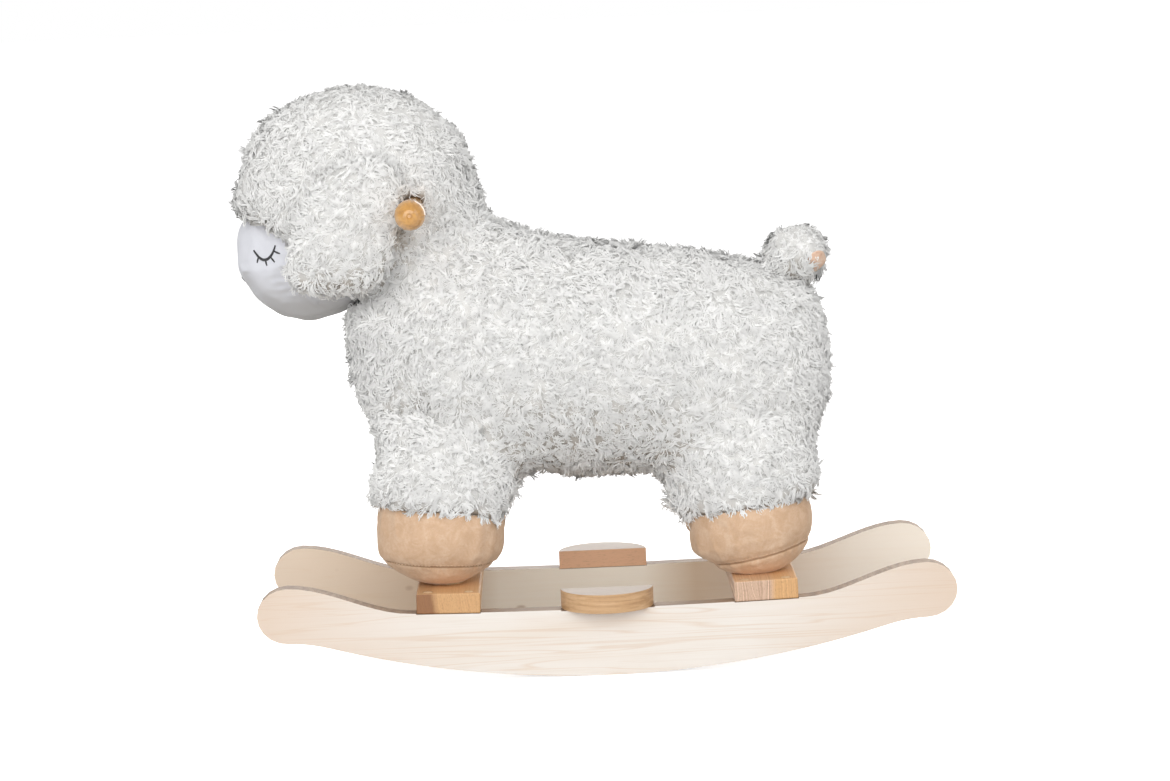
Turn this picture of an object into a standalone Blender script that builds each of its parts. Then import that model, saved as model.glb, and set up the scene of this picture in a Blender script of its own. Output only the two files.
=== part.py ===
"""A plush rocking sheep: a stuffed fleece animal over a wooden frame, on two wooden runners.

Metres, +Z up. The head points to -X and the animal's left side is -Y.
The origin is on the floor, midway between the runners and midway along them.
"""

import math

import bmesh
import bpy
from mathutils import Matrix, Vector

# Fits
FIT_GAP = 0.0003
HOLE_CLEARANCE = 0.0004

# Runners
RUNNER_LENGTH = 0.701
RUNNER_THICKNESS = 0.020
RUNNER_WAIST = 0.068
RUNNER_EDGE = 0.0035
BASE_WIDTH = 0.257
SOLE_RADIUS = 1.0125
FLARE_LENGTH = 0.042
FLARE_LIFT = 0.0064
TIP_LENGTH = 0.0305
TIP_HEIGHT = 0.0560
RISE_LENGTH = 0.125
WAIST_DIP = 0.0028
SOLE_FACETS = 25

# Crossbars, each let into a shallow seat in both runners
CROSSBAR_WIDTH = 0.064
CROSSBAR_HEIGHT = 0.0205
CROSSBAR_EDGE = 0.0015
CROSSBAR_REACH = 0.159
SEAT_DEPTH = 0.001

# Footrests
FOOTREST_RADIUS = 0.0465
FOOTREST_THICKNESS = 0.019
FOOTREST_EDGE = 0.0025

# Screws, plugs and dowels
SCREW_RADIUS = 0.0022
SCREW_HEAD_RADIUS = 0.0042
SCREW_LENGTH = 0.034
SCREW_RIM = 0.0006
SCREW_POINT = 0.0044
PLUG_RADIUS = 0.0050
PLUG_DEPTH = 0.005
PLUG_INSET = 0.0115
DOWEL_RADIUS = 0.004
DOWEL_LENGTH = 0.030
DOWEL_DROP = 0.005
DOWEL_SPACING = 0.046
DOWEL_EDGE = 0.0004

# Wooden frame inside the animal
POST_RADIUS = 0.014
POST_SINK = 0.005
BOARD_THICKNESS = 0.015
BOARD_HEIGHT = 0.181
BOARD_MARGIN = 0.006
BOARD_CORNER = 0.022
NECK_POST_LENGTH = 0.044
NECK_POST_WIDTH = 0.036
NECK_POST_RISE = 0.030

# Handle
HANDLE_SPAN = 0.340
HANDLE_RADIUS = 0.0125
HANDLE_SETBACK = 0.057
HANDLE_DROP = 0.007
KNOB_RADIUS = 0.0155
COLLAR_RADIUS = 0.0138
COLLAR_LENGTH = 0.004
SPIGOT_RADIUS = 0.006
SPIGOT_LENGTH = 0.014
DIMPLE_RADIUS = 0.0032
DIMPLE_DEPTH = 0.0012

# Feet and legs
FRONT_FOOT_RADIUS = 0.0635
REAR_FOOT_RADIUS = 0.0615
FRONT_FOOT_ADVANCE = 0.006
REAR_FOOT_ADVANCE = 0.009
FRONT_FOOT_TILT = math.radians(-4)
REAR_FOOT_TILT = math.radians(13)
FOOT_SINK = 0.004
SOLE_SEAM_HEIGHT = 0.026
SEAM_PINCH = 0.0016
LEG_GAP = 0.005
LEG_HEIGHT = 0.112
LEG_HALF_LENGTH = 0.0665
LEG_HALF_WIDTH = 0.0620
FRONT_HEM_LIFT = 0.021
REAR_HEM_LIFT = 0.014
FRONT_HEM_TILT = math.radians(-7)
REAR_HEM_TILT = math.radians(9)

# Body, with the neck in one piece
CHEST_OVERHANG = 0.083
RUMP_OVERHANG = 0.081
BELLY_HEIGHT = 0.0985
BODY_DEPTH = 0.222
HAUNCH_STEP = 0.0095

# Head and face
HEAD_SETBACK = 0.007
HEAD_HEIGHT = 0.3885
HEAD_HALF_LENGTH = 0.121
HEAD_HALF_WIDTH = 0.097
HEAD_RISE = 0.111
HEAD_DROP = 0.100
FACE_FORWARD = 0.051
FACE_DROP = 0.053
FACE_HALF_LENGTH = 0.073
FACE_HALF_WIDTH = 0.064
FACE_HALF_HEIGHT = 0.071
HOOD_OPENING_RADIUS = 0.095
HOOD_OPENING_FORWARD = 0.126
HOOD_OPENING_DROP = 0.103

# Ears
EAR_LENGTH = 0.127
EAR_WIDTH = 0.098
EAR_THICKNESS = 0.030
EAR_SETBACK = 0.013
EAR_LIFT = 0.044
EAR_SLANT = math.radians(17)

# Tail
TAIL_ROOT_RADIUS = 0.016
TAIL_RADIUS = 0.029
TAIL_LENGTH = 0.064
TAIL_SLANT = math.radians(42)
TAIL_NECK_SHARE = 0.80
TAIL_SEAT_SHARE = 0.890

# The body's rings, from the neck to the rump: share of the way from chest to rump, centre height and
# half height in shares of the body's depth, forward lean in degrees, half width in shares of the full one
BODY_RINGS = [
    (0.092, 0.982, 0.297, 45.9, 0.52),
    (0.121, 0.847, 0.446, 39.9, 0.74),
    (0.196, 0.651, 0.572, 32.1, 0.90),
    (0.274, 0.572, 0.570, 9.0, 0.98),
    (0.440, 0.523, 0.523, 0.0, 1.00),
    (0.647, 0.498, 0.502, 0.0, 1.00),
    (0.834, 0.475, 0.466, 0.0, 0.93),
    (0.938, 0.482, 0.360, 0.0, 0.72),
    (0.985, 0.505, 0.180, 0.0, 0.36),
]

# A leg's rings, from the hem up: height share, half length share, half width share, inward shift share
LEG_RINGS = [
    (0.00, 0.95, 0.95, 0.00),
    (0.10, 1.00, 1.00, 0.00),
    (0.40, 0.99, 0.99, 0.04),
    (0.76, 0.89, 0.85, 0.18),
    (1.00, 0.70, 0.60, 0.32),
]

# An ear's rings, from the top seam down: length share, width share, thickness share
EAR_RINGS = [
    (0.00, 0.52, 0.34),
    (0.14, 0.76, 0.64),
    (0.42, 0.96, 0.96),
    (0.70, 1.00, 1.00),
    (0.90, 0.90, 0.84),
    (1.00, 0.56, 0.42),
]

# A foot's profile: its crown's height in shares of its radius, its rings' angles from the top, and the
# rings of its sole, each as shares of the seam's radius and of the foot's
FOOT_CROWN = 0.5
FOOT_ANGLES = (60, 78, 94, 108, 120)
SOLE_RINGS = [(0.90, 0.87), (0.62, 0.97)]

# The angles from the tip of the tail's tuft and of its root
TUFT_ANGLES = (0, 25, 50, 75, 100, 122, 140)
ROOT_ANGLES = (75, 100, 125, 150, 180)

# Facets of the round and soft forms, and steps of the outlines
FORM_SIDES = 12
EGG_SIDES = 20
EGG_RINGS = 14
ROUND_SIDES = 16
HOOD_SIDES = 36
SMALL_SIDES = 8
KNOB_STEPS = 9
FLARE_STEPS = 5
TIP_STEPS = 10
WAIST_STEPS = 4

# Angles in degrees below which an edge looks smooth: on wooden pieces, on eggs and on lofts
WOOD_SMOOTH = 30.0
EGG_SMOOTH = 60.0
LOFT_SMOOTH = 80.0


def clear_objects():
    for old in list(bpy.data.objects):
        bpy.data.objects.remove(old)


def new_collection(name):
    collection = bpy.data.collections.new(name)
    bpy.context.scene.collection.children.link(collection)
    return collection


clear_objects()
PIECES = new_collection("plush_rocking_sheep")
CUTTERS = new_collection("cutters")


# Materials

def material(name, colour, roughness):
    made = bpy.data.materials.new(name)
    made.use_nodes = True
    shader = made.node_tree.nodes["Principled BSDF"]
    shader.inputs["Base Color"].default_value = (*colour, 1.0)
    shader.inputs["Roughness"].default_value = roughness
    shader.inputs["Metallic"].default_value = 0.0
    return made


def steel(name):
    made = material(name, (0.60, 0.58, 0.52), 0.35)
    made.node_tree.nodes["Principled BSDF"].inputs["Metallic"].default_value = 1.0
    return made


PALE_WOOD = material("pale_wood", (0.80, 0.67, 0.52), 0.55)
BROWN_WOOD = material("brown_wood", (0.62, 0.40, 0.21), 0.55)
INNER_WOOD = material("inner_wood", (0.72, 0.58, 0.40), 0.65)
HONEY_LACQUER = material("honey_lacquer", (0.72, 0.38, 0.08), 0.22)
FLEECE = material("fleece", (0.88, 0.87, 0.84), 0.95)
FACE_FABRIC = material("face_fabric", (0.80, 0.80, 0.84), 0.85)
SUEDE = material("suede", (0.72, 0.50, 0.33), 0.90)
SCREW_STEEL = steel("screw_steel")


# Meshes

def finish_mesh(name, bm, smooth_below=WOOD_SMOOTH):
    mesh = bpy.data.meshes.new(name)
    bmesh.ops.recalc_face_normals(bm, faces=bm.faces[:])
    bm.to_mesh(mesh)
    bm.free()
    mesh.shade_smooth()
    mesh.set_sharp_from_angle(angle=math.radians(smooth_below))
    return mesh


def box_mesh(name, length, width, height):
    bm = bmesh.new()
    bmesh.ops.create_cube(bm, size=1.0)
    bmesh.ops.scale(bm, vec=(length, width, height), verts=bm.verts[:])
    return finish_mesh(name, bm)


def rod_mesh(name, radius, length, sides):
    bm = bmesh.new()
    bmesh.ops.create_cone(
        bm, cap_ends=True, segments=sides, radius1=radius, radius2=radius, depth=length
    )
    return finish_mesh(name, bm)


def egg_mesh(name, half_length, half_width, rise, drop, grow=0.0):
    """A ball stretched to its own half sizes, with unlike heights above and below its widest level."""
    bm = bmesh.new()
    bmesh.ops.create_uvsphere(bm, u_segments=EGG_SIDES, v_segments=EGG_RINGS, radius=1.0)
    for vert in bm.verts:
        height = rise if vert.co.z > 0 else drop
        vert.co.x *= half_length + grow
        vert.co.y *= half_width + grow
        vert.co.z *= height + grow
    return finish_mesh(name, bm, EGG_SMOOTH)


def loft_mesh(name, rings):
    """A closed cage through rings, each a centre with the half axes of an ellipse."""
    pull_in = (4 + 2 * math.cos(2 * math.pi / FORM_SIDES)) / 6
    bm = bmesh.new()
    loops = []
    for centre, across, upward in rings:
        loop = []
        for step in range(FORM_SIDES):
            angle = 2 * math.pi * step / FORM_SIDES
            offset = across * math.cos(angle) + upward * math.sin(angle)
            loop.append(bm.verts.new(centre + offset / pull_in))
        loops.append(loop)
    for low, high in zip(loops, loops[1:]):
        for step in range(FORM_SIDES):
            after = (step + 1) % FORM_SIDES
            bm.faces.new((low[step], low[after], high[after], high[step]))
    bm.faces.new(loops[0])
    bm.faces.new(loops[-1])
    return finish_mesh(name, bm, LOFT_SMOOTH)


def outline_mesh(name, points, thickness):
    """A flat outline in X and Z, extruded evenly to both sides of Y = 0."""
    curve = bpy.data.curves.new(name, "CURVE")
    curve.dimensions = "2D"
    curve.fill_mode = "BOTH"
    curve.extrude = thickness / 2
    spline = curve.splines.new("POLY")
    spline.points.add(len(points) - 1)
    for point, (x, z) in zip(spline.points, points):
        point.co = (x, z, 0.0, 1.0)
    spline.use_cyclic_u = True
    drawn = bpy.data.objects.new(name + "_outline", curve)
    drawn.rotation_euler = (math.pi / 2, 0.0, 0.0)
    CUTTERS.objects.link(drawn)
    bpy.context.view_layer.update()
    evaluated = drawn.evaluated_get(bpy.context.evaluated_depsgraph_get())
    flat = bpy.data.meshes.new_from_object(evaluated)
    bm = bmesh.new()
    bm.from_mesh(flat)
    bmesh.ops.remove_doubles(bm, verts=bm.verts[:], dist=0.00001)
    bmesh.ops.transform(bm, matrix=drawn.matrix_world, verts=bm.verts[:])
    bpy.data.objects.remove(drawn)
    bpy.data.curves.remove(curve)
    bpy.data.meshes.remove(flat)
    return finish_mesh(name, bm)


# Objects and modifiers

def add_piece(name, mesh, finish, place=Matrix.Identity(4)):
    mesh.materials.clear()
    mesh.materials.append(finish)
    piece = bpy.data.objects.new(name, mesh)
    piece.matrix_world = place
    PIECES.objects.link(piece)
    return piece


def add_cutter(name, mesh, place=Matrix.Identity(4)):
    tool = bpy.data.objects.new("cut_" + name, mesh)
    tool.matrix_world = place
    tool.display_type = "WIRE"
    tool.hide_render = True
    CUTTERS.objects.link(tool)
    return tool


def at(x, y, z):
    return Matrix.Translation((x, y, z))


def round_edges(piece, width, segments=2):
    bevel = piece.modifiers.new("round_edges", "BEVEL")
    bevel.limit_method = "ANGLE"
    bevel.angle_limit = math.radians(40)
    bevel.width = width
    bevel.segments = segments


def subdivide(piece, levels):
    """Rounds a cage, and splits its bent quads so that a piece and its grown copy have the same facets."""
    smooth = piece.modifiers.new("stuffing", "SUBSURF")
    smooth.levels = levels
    smooth.render_levels = levels
    split = piece.modifiers.new("facets", "TRIANGULATE")
    split.quad_method = "FIXED"


def swell(piece, distance):
    grow = piece.modifiers.new("grow", "DISPLACE")
    grow.direction = "NORMAL"
    grow.mid_level = 0.0
    grow.strength = distance


def cut(piece, *tools):
    for tool in tools:
        boolean = piece.modifiers.new(tool.name, "BOOLEAN")
        boolean.operation = "DIFFERENCE"
        boolean.solver = "EXACT"
        boolean.object = tool


def turned_mesh(name, profile):
    """The profile, as radius and height from the top down, before its Screw modifier turns it."""
    bm = bmesh.new()
    verts = [bm.verts.new((radius, 0.0, height)) for radius, height in profile]
    for upper, lower in zip(verts, verts[1:]):
        bm.edges.new((upper, lower))
    mesh = bpy.data.meshes.new(name)
    bm.to_mesh(mesh)
    bm.free()
    return mesh


def turn(piece, sides):
    screw = piece.modifiers.new("turn", "SCREW")
    screw.steps = sides
    screw.render_steps = sides
    screw.use_merge_vertices = True
    screw.merge_threshold = 0.00001
    screw.use_smooth_shade = True


# Runners

def sole_height(x):
    """The rolling arc, let down so that its middle facet lies on the floor."""
    flat = (RUNNER_LENGTH / 2 - TIP_LENGTH - FLARE_LENGTH) / SOLE_FACETS
    lift = SOLE_RADIUS - math.sqrt(SOLE_RADIUS**2 - flat**2)
    return SOLE_RADIUS - math.sqrt(SOLE_RADIUS**2 - x**2) - lift


def smooth_step(share):
    return share * share * (3 - 2 * share)


def tip_middle():
    return RUNNER_LENGTH / 2 - TIP_LENGTH


def tip_bottom():
    return sole_height(tip_middle() - FLARE_LENGTH) + FLARE_LIFT


def top_height(x):
    """The upper edge: a slight dip at the waist, then a rise to the rounded tip."""
    rise_start = tip_middle() - RISE_LENGTH
    waist_end = RUNNER_WAIST + WAIST_DIP
    if abs(x) < rise_start:
        return RUNNER_WAIST + WAIST_DIP * (x / rise_start) ** 2
    share = min((abs(x) - rise_start) / RISE_LENGTH, 1.0)
    return waist_end + (tip_bottom() + TIP_HEIGHT - waist_end) * smooth_step(share)


def runner_outline():
    """The rolling arc, the flare, the rounded tip and the upper edge of one end, and its mirror."""
    arc_end = tip_middle() - FLARE_LENGTH
    half = []
    for facet in range(SOLE_FACETS // 2 + 1):
        x = arc_end * (2 * facet + 1) / SOLE_FACETS
        half.append((x, sole_height(x)))
    slope = arc_end / math.sqrt(SOLE_RADIUS**2 - arc_end**2)
    for step in range(1, FLARE_STEPS):
        t = step / FLARE_STEPS
        height = sole_height(arc_end) + FLARE_LIFT * smooth_step(t)
        height += slope * FLARE_LENGTH * (t**3 - 2 * t**2 + t)
        half.append((arc_end + FLARE_LENGTH * t, height))
    for step in range(TIP_STEPS + 1):
        angle = math.pi * (step / TIP_STEPS - 0.5)
        x = tip_middle() + TIP_LENGTH * math.cos(angle)
        half.append((x, tip_bottom() + TIP_HEIGHT / 2 * (1 + math.sin(angle))))
    for step in range(1, TIP_STEPS + 1):
        x = tip_middle() - RISE_LENGTH * step / TIP_STEPS
        half.append((x, top_height(x)))
    for step in range(1, WAIST_STEPS):
        x = (tip_middle() - RISE_LENGTH) * (1 - step / WAIST_STEPS)
        half.append((x, top_height(x)))
    mirrored = [(-x, z) for x, z in reversed(half)]
    return half + mirrored


def runner_middle():
    return (BASE_WIDTH - RUNNER_THICKNESS) / 2


# Where the crossbars lie: in the frame of each, its middle is the origin and its top faces +Z

def crossbar_place(end):
    """The crossbar lies along the runners' upper edges, let in by the seat's depth."""
    inner = CROSSBAR_REACH - CROSSBAR_WIDTH / 2
    outer = CROSSBAR_REACH + CROSSBAR_WIDTH / 2
    lean = math.atan2(top_height(outer) - top_height(inner), CROSSBAR_WIDTH)
    seat = (top_height(outer) + top_height(inner)) / 2 - SEAT_DEPTH
    middle = seat + CROSSBAR_HEIGHT / 2 + FIT_GAP
    return at(end * CROSSBAR_REACH, 0.0, middle) @ Matrix.Rotation(-end * lean, 4, "Y")


def deck_height():
    """The top of the crossbars, from which the whole animal is measured."""
    return crossbar_place(1).translation.z + CROSSBAR_HEIGHT / 2


FRONT, REAR = -1, 1
LEFT, RIGHT = -1, 1
ENDS = {"front": FRONT, "rear": REAR}
SIDES = {"left": LEFT, "right": RIGHT}


# Screws

def screw_profile(length, grow=0.0):
    """A countersunk wood screw, its head's top at height 0, or the hole that it sits in."""
    head = SCREW_HEAD_RADIUS + grow
    shank = SCREW_RADIUS + grow
    top = 2 * grow
    return [
        (0.0, top),
        (head, top),
        (head, -SCREW_RIM),
        (shank, -SCREW_HEAD_RADIUS),
        (shank, -length + SCREW_POINT),
        (0.0, -length - 2 * grow),
    ]


def add_screw(name, place):
    piece = add_piece(name, turned_mesh(name, screw_profile(SCREW_LENGTH)), SCREW_STEEL, place)
    turn(piece, SMALL_SIDES)
    hole_mesh = turned_mesh(name + "_hole", screw_profile(SCREW_LENGTH, HOLE_CLEARANCE))
    hole = add_cutter(name, hole_mesh, place)
    turn(hole, SMALL_SIDES)
    return hole


def add_base():
    """Runners, crossbars, footrests and their fixings. Returns the cutters of the posts' screws."""
    runners = {}
    for side, sign in SIDES.items():
        mesh = outline_mesh("runner_" + side, runner_outline(), RUNNER_THICKNESS)
        runners[side] = add_piece("runner_" + side, mesh, PALE_WOOD, at(0.0, sign * runner_middle(), 0.0))
        round_edges(runners[side], RUNNER_EDGE)

    post_screw_holes = {}
    for end, end_sign in ENDS.items():
        place = crossbar_place(end_sign)
        mesh = box_mesh(end + "_crossbar", CROSSBAR_WIDTH, BASE_WIDTH, CROSSBAR_HEIGHT)
        crossbar = add_piece(end + "_crossbar", mesh, BROWN_WOOD, place)
        round_edges(crossbar, CROSSBAR_EDGE)
        grown = box_mesh(
            end + "_crossbar_seat",
            CROSSBAR_WIDTH + 2 * FIT_GAP,
            BASE_WIDTH + 4 * RUNNER_THICKNESS,
            CROSSBAR_HEIGHT + 2 * FIT_GAP,
        )
        seat = add_cutter(end + "_crossbar_seat", grown, place)
        for side, sign in SIDES.items():
            cut(runners[side], seat)
            for row, row_sign in (("outer", end_sign), ("inner", -end_sign)):
                name = f"{end}_{side}_{row}"
                x = row_sign * (CROSSBAR_WIDTH / 2 - PLUG_INSET)
                y = sign * runner_middle()
                top = CROSSBAR_HEIGHT / 2
                plug_place = place @ at(x, y, top - PLUG_DEPTH / 2)
                plug = add_piece(
                    "screw_plug_" + name,
                    rod_mesh("screw_plug_" + name, PLUG_RADIUS, PLUG_DEPTH, SMALL_SIDES),
                    PALE_WOOD,
                    plug_place,
                )
                round_edges(plug, DOWEL_EDGE, 1)
                bore = add_cutter(
                    "plug_bore_" + name,
                    rod_mesh(
                        "plug_bore_" + name,
                        PLUG_RADIUS + HOLE_CLEARANCE,
                        PLUG_DEPTH + 2 * FIT_GAP,
                        SMALL_SIDES,
                    ),
                    plug_place,
                )
                hole = add_screw("crossbar_screw_" + name, place @ at(x, y, top - PLUG_DEPTH - FIT_GAP))
                cut(crossbar, bore, hole)
                cut(runners[side], hole)
            upward = place @ at(0.0, sign * leg_middle(), -CROSSBAR_HEIGHT / 2)
            hole = add_screw(f"lower_post_screw_{end}_{side}", upward @ Matrix.Rotation(math.pi, 4, "X"))
            cut(crossbar, hole)
            post_screw_holes[end, side] = (seat, hole)

    for side, sign in SIDES.items():
        add_footrest(side, sign, runners[side])
    return post_screw_holes


def add_footrest(side, sign, runner):
    """Half a disc on the runner's upper edge, its flat side flush with the runner's inner face."""
    flat_side = sign * (BASE_WIDTH / 2 - RUNNER_THICKNESS)
    middle = top_height(0.0) - SEAT_DEPTH + FIT_GAP + FOOTREST_THICKNESS / 2
    points = []
    for step in range(EGG_SIDES + 1):
        angle = math.pi * step / EGG_SIDES
        points.append((FOOTREST_RADIUS * math.cos(angle), FOOTREST_RADIUS * math.sin(angle)))
    mesh = outline_mesh("footrest_" + side, points, FOOTREST_THICKNESS)
    lay_flat = Matrix.Rotation(math.copysign(math.pi / 2, -sign), 4, "X")
    place = at(0.0, flat_side, middle) @ lay_flat
    footrest = add_piece("footrest_" + side, mesh, BROWN_WOOD, place)
    round_edges(footrest, FOOTREST_EDGE)

    seat_mesh = box_mesh(
        "footrest_seat_" + side,
        2 * (FOOTREST_RADIUS + FIT_GAP),
        4 * RUNNER_THICKNESS,
        FOOTREST_THICKNESS + 2 * FIT_GAP,
    )
    cut(runner, add_cutter("footrest_seat_" + side, seat_mesh, at(0.0, sign * runner_middle(), middle)))

    joint_height = middle - FOOTREST_THICKNESS / 2
    for row, row_sign in (("front", FRONT), ("rear", REAR)):
        name = f"footrest_dowel_{side}_{row}"
        spot = at(row_sign * DOWEL_SPACING / 2, sign * runner_middle(), joint_height - DOWEL_DROP)
        dowel = add_piece(name, rod_mesh(name, DOWEL_RADIUS, DOWEL_LENGTH, SMALL_SIDES), INNER_WOOD, spot)
        round_edges(dowel, DOWEL_EDGE, 1)
        hole_mesh = rod_mesh(
            name + "_hole", DOWEL_RADIUS + HOLE_CLEARANCE, DOWEL_LENGTH + 2 * FIT_GAP, SMALL_SIDES
        )
        hole = add_cutter(name, hole_mesh, spot)
        cut(runner, hole)
        cut(footrest, hole)


# Places of the animal's parts, all from the crossbars and the feet

def leg_middle():
    return max(FRONT_FOOT_RADIUS, REAR_FOOT_RADIUS, LEG_HALF_WIDTH) + LEG_GAP / 2


def chest_end():
    return -CROSSBAR_REACH - CHEST_OVERHANG


def rump_end():
    return CROSSBAR_REACH + RUMP_OVERHANG


def belly_height():
    return deck_height() + BELLY_HEIGHT


def body_half_width():
    return leg_middle() + LEG_HALF_WIDTH - HAUNCH_STEP


def board_bottom():
    return deck_height() + BOARD_HEIGHT


def head_centre():
    return Vector((chest_end() + HEAD_SETBACK, 0.0, deck_height() + HEAD_HEIGHT))


def handle_centre():
    return head_centre() + Vector((HANDLE_SETBACK, 0.0, -HANDLE_DROP))


def body_ring(share, height, half_height, lean, half_width):
    centre = Vector((
        chest_end() + share * (rump_end() - chest_end()),
        0.0,
        belly_height() + height * BODY_DEPTH,
    ))
    angle = math.radians(lean)
    across = Vector((0.0, half_width * body_half_width(), 0.0))
    upward = half_height * BODY_DEPTH * Vector((math.sin(angle), 0.0, math.cos(angle)))
    return centre, across, upward


def tail_root():
    """The middle of the tail's seat, on the back line between the last two full rings."""
    upper = []
    for ring in (BODY_RINGS[-3], BODY_RINGS[-2]):
        centre, _, upward = body_ring(*ring)
        upper.append(centre + upward)
    share = (TAIL_SEAT_SHARE - BODY_RINGS[-3][0]) / (BODY_RINGS[-2][0] - BODY_RINGS[-3][0])
    return upper[0].lerp(upper[1], share)


# Frame inside the animal

def board_outline(grow=0.0):
    """The seat board seen from above: wide over the posts, narrow under the neck."""
    rear = CROSSBAR_REACH + POST_RADIUS + BOARD_MARGIN + grow
    shoulder = -rear
    nose = handle_centre().x - NECK_POST_LENGTH / 2 - BOARD_MARGIN - grow
    wide = leg_middle() + POST_RADIUS + BOARD_MARGIN + grow
    narrow = NECK_POST_WIDTH / 2 + BOARD_MARGIN + grow
    half = [
        (rear, wide - BOARD_CORNER),
        (rear - BOARD_CORNER, wide),
        (shoulder + BOARD_CORNER / 2, wide),
        (shoulder, wide - BOARD_CORNER / 2),
        (nose, narrow),
    ]
    return half + [(x, -y) for x, y in reversed(half)]


def add_frame(post_screw_holes):
    """Posts, seat board, neck post and handle. Returns the cutters that clear the stuffing round them."""
    board_place = at(0.0, 0.0, board_bottom() + BOARD_THICKNESS / 2) @ Matrix.Rotation(math.pi / 2, 4, "X")
    board = add_piece(
        "seat_board", outline_mesh("seat_board", board_outline(), BOARD_THICKNESS), INNER_WOOD, board_place
    )
    board_space = add_cutter(
        "board_space",
        outline_mesh("board_space", board_outline(FIT_GAP), BOARD_THICKNESS + 2 * FIT_GAP),
        board_place,
    )

    post_spaces = {}
    post_bottom = deck_height() - POST_SINK
    post_top = board_bottom() - FIT_GAP
    post_height = (post_top + post_bottom) / 2
    for end, end_sign in ENDS.items():
        for side, sign in SIDES.items():
            name = f"leg_post_{end}_{side}"
            place = at(end_sign * CROSSBAR_REACH, sign * leg_middle(), post_height)
            length = post_top - post_bottom
            post = add_piece(name, rod_mesh(name, POST_RADIUS, length, ROUND_SIDES), INNER_WOOD, place)
            screw_top = at(place.translation.x, place.translation.y, board_bottom() + BOARD_THICKNESS)
            upper_hole = add_screw(f"upper_post_screw_{end}_{side}", screw_top)
            cut(post, *post_screw_holes[end, side], upper_hole)
            cut(board, upper_hole)
            space = rod_mesh(name + "_space", POST_RADIUS + FIT_GAP, length + 2 * FIT_GAP, ROUND_SIDES)
            post_spaces[end, side] = add_cutter(name + "_space", space, place)

    handle = handle_centre()
    neck_bottom = board_bottom() + BOARD_THICKNESS + FIT_GAP
    neck_top = handle.z + NECK_POST_RISE
    neck_place = at(handle.x, 0.0, (neck_bottom + neck_top) / 2)
    neck_height = neck_top - neck_bottom
    neck_mesh = box_mesh("neck_post", NECK_POST_LENGTH, NECK_POST_WIDTH, neck_height)
    neck_post = add_piece("neck_post", neck_mesh, INNER_WOOD, neck_place)
    round_edges(neck_post, RUNNER_EDGE)
    neck_space = add_cutter(
        "neck_space",
        box_mesh(
            "neck_space",
            NECK_POST_LENGTH + 2 * FIT_GAP,
            NECK_POST_WIDTH + 2 * FIT_GAP,
            neck_height + 2 * FIT_GAP,
        ),
        neck_place,
    )
    for row, row_sign in (("front", FRONT), ("rear", REAR)):
        spot = at(handle.x + row_sign * NECK_POST_LENGTH / 4, 0.0, board_bottom())
        hole = add_screw("neck_post_screw_" + row, spot @ Matrix.Rotation(math.pi, 4, "X"))
        cut(board, hole)
        cut(neck_post, hole)
    rod_space = add_handle(neck_post)
    return board_space, post_spaces, neck_space, rod_space


def knob_profile():
    """A ball with a collar behind it, a blind hole for the rod's spigot and a small dimple in front."""
    ball_middle = COLLAR_LENGTH + math.sqrt(KNOB_RADIUS**2 - COLLAR_RADIUS**2)
    hole = SPIGOT_RADIUS + HOLE_CLEARANCE
    start = math.asin(DIMPLE_RADIUS / KNOB_RADIUS)
    end = math.pi - math.asin(COLLAR_RADIUS / KNOB_RADIUS)
    rim = ball_middle + KNOB_RADIUS * math.cos(start)
    profile = [(0.0, rim - DIMPLE_DEPTH), (DIMPLE_RADIUS / 2, rim - DIMPLE_DEPTH)]
    for step in range(KNOB_STEPS + 1):
        angle = start + (end - start) * step / KNOB_STEPS
        profile.append((KNOB_RADIUS * math.sin(angle), ball_middle + KNOB_RADIUS * math.cos(angle)))
    profile += [(COLLAR_RADIUS, 0.0), (hole, 0.0), (hole, SPIGOT_LENGTH), (0.0, SPIGOT_LENGTH)]
    return profile


def add_handle(neck_post):
    handle = handle_centre()
    profile = knob_profile()
    knob_length = max(height for _, height in profile)
    shoulder = HANDLE_SPAN / 2 - knob_length
    spigot_end = shoulder + SPIGOT_LENGTH - FIT_GAP
    half = [
        (0.0, spigot_end),
        (SPIGOT_RADIUS, spigot_end),
        (SPIGOT_RADIUS, shoulder - FIT_GAP),
        (HANDLE_RADIUS, shoulder - FIT_GAP),
    ]
    rod_profile = half + [(radius, -height) for radius, height in reversed(half)]
    along_y = Matrix.Translation(handle) @ Matrix.Rotation(math.pi / 2, 4, "X")
    rod = add_piece("handle_rod", turned_mesh("handle_rod", rod_profile), HONEY_LACQUER, along_y)
    turn(rod, ROUND_SIDES)
    for side, sign in SIDES.items():
        outward = at(handle.x, sign * shoulder, handle.z) @ Matrix.Rotation(-sign * math.pi / 2, 4, "X")
        name = "handle_knob_" + side
        knob = add_piece(name, turned_mesh(name, profile), HONEY_LACQUER, outward)
        turn(knob, ROUND_SIDES)
    bore = add_cutter(
        "handle_bore",
        rod_mesh("handle_bore", HANDLE_RADIUS + FIT_GAP, HANDLE_SPAN, ROUND_SIDES),
        along_y,
    )
    cut(neck_post, bore)
    return bore


# Soft forms

def body_mesh(name):
    return loft_mesh(name, [body_ring(*ring) for ring in BODY_RINGS])


def leg_mesh(name, hem_lift, hem_tilt):
    """A sleeve above its foot's middle, which is the origin, wider at its leaning hem."""
    rings = []
    for height, half_length, half_width, shift in LEG_RINGS:
        lean = hem_tilt * (1 - height)
        rise = hem_lift + height * (LEG_HEIGHT - hem_lift)
        centre = Vector((0.0, shift * LEG_HALF_WIDTH, rise))
        across = half_length * LEG_HALF_LENGTH * Vector((math.cos(lean), 0.0, math.sin(lean)))
        rings.append((centre, across, Vector((0.0, half_width * LEG_HALF_WIDTH, 0.0))))
    return loft_mesh(name, rings)


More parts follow.
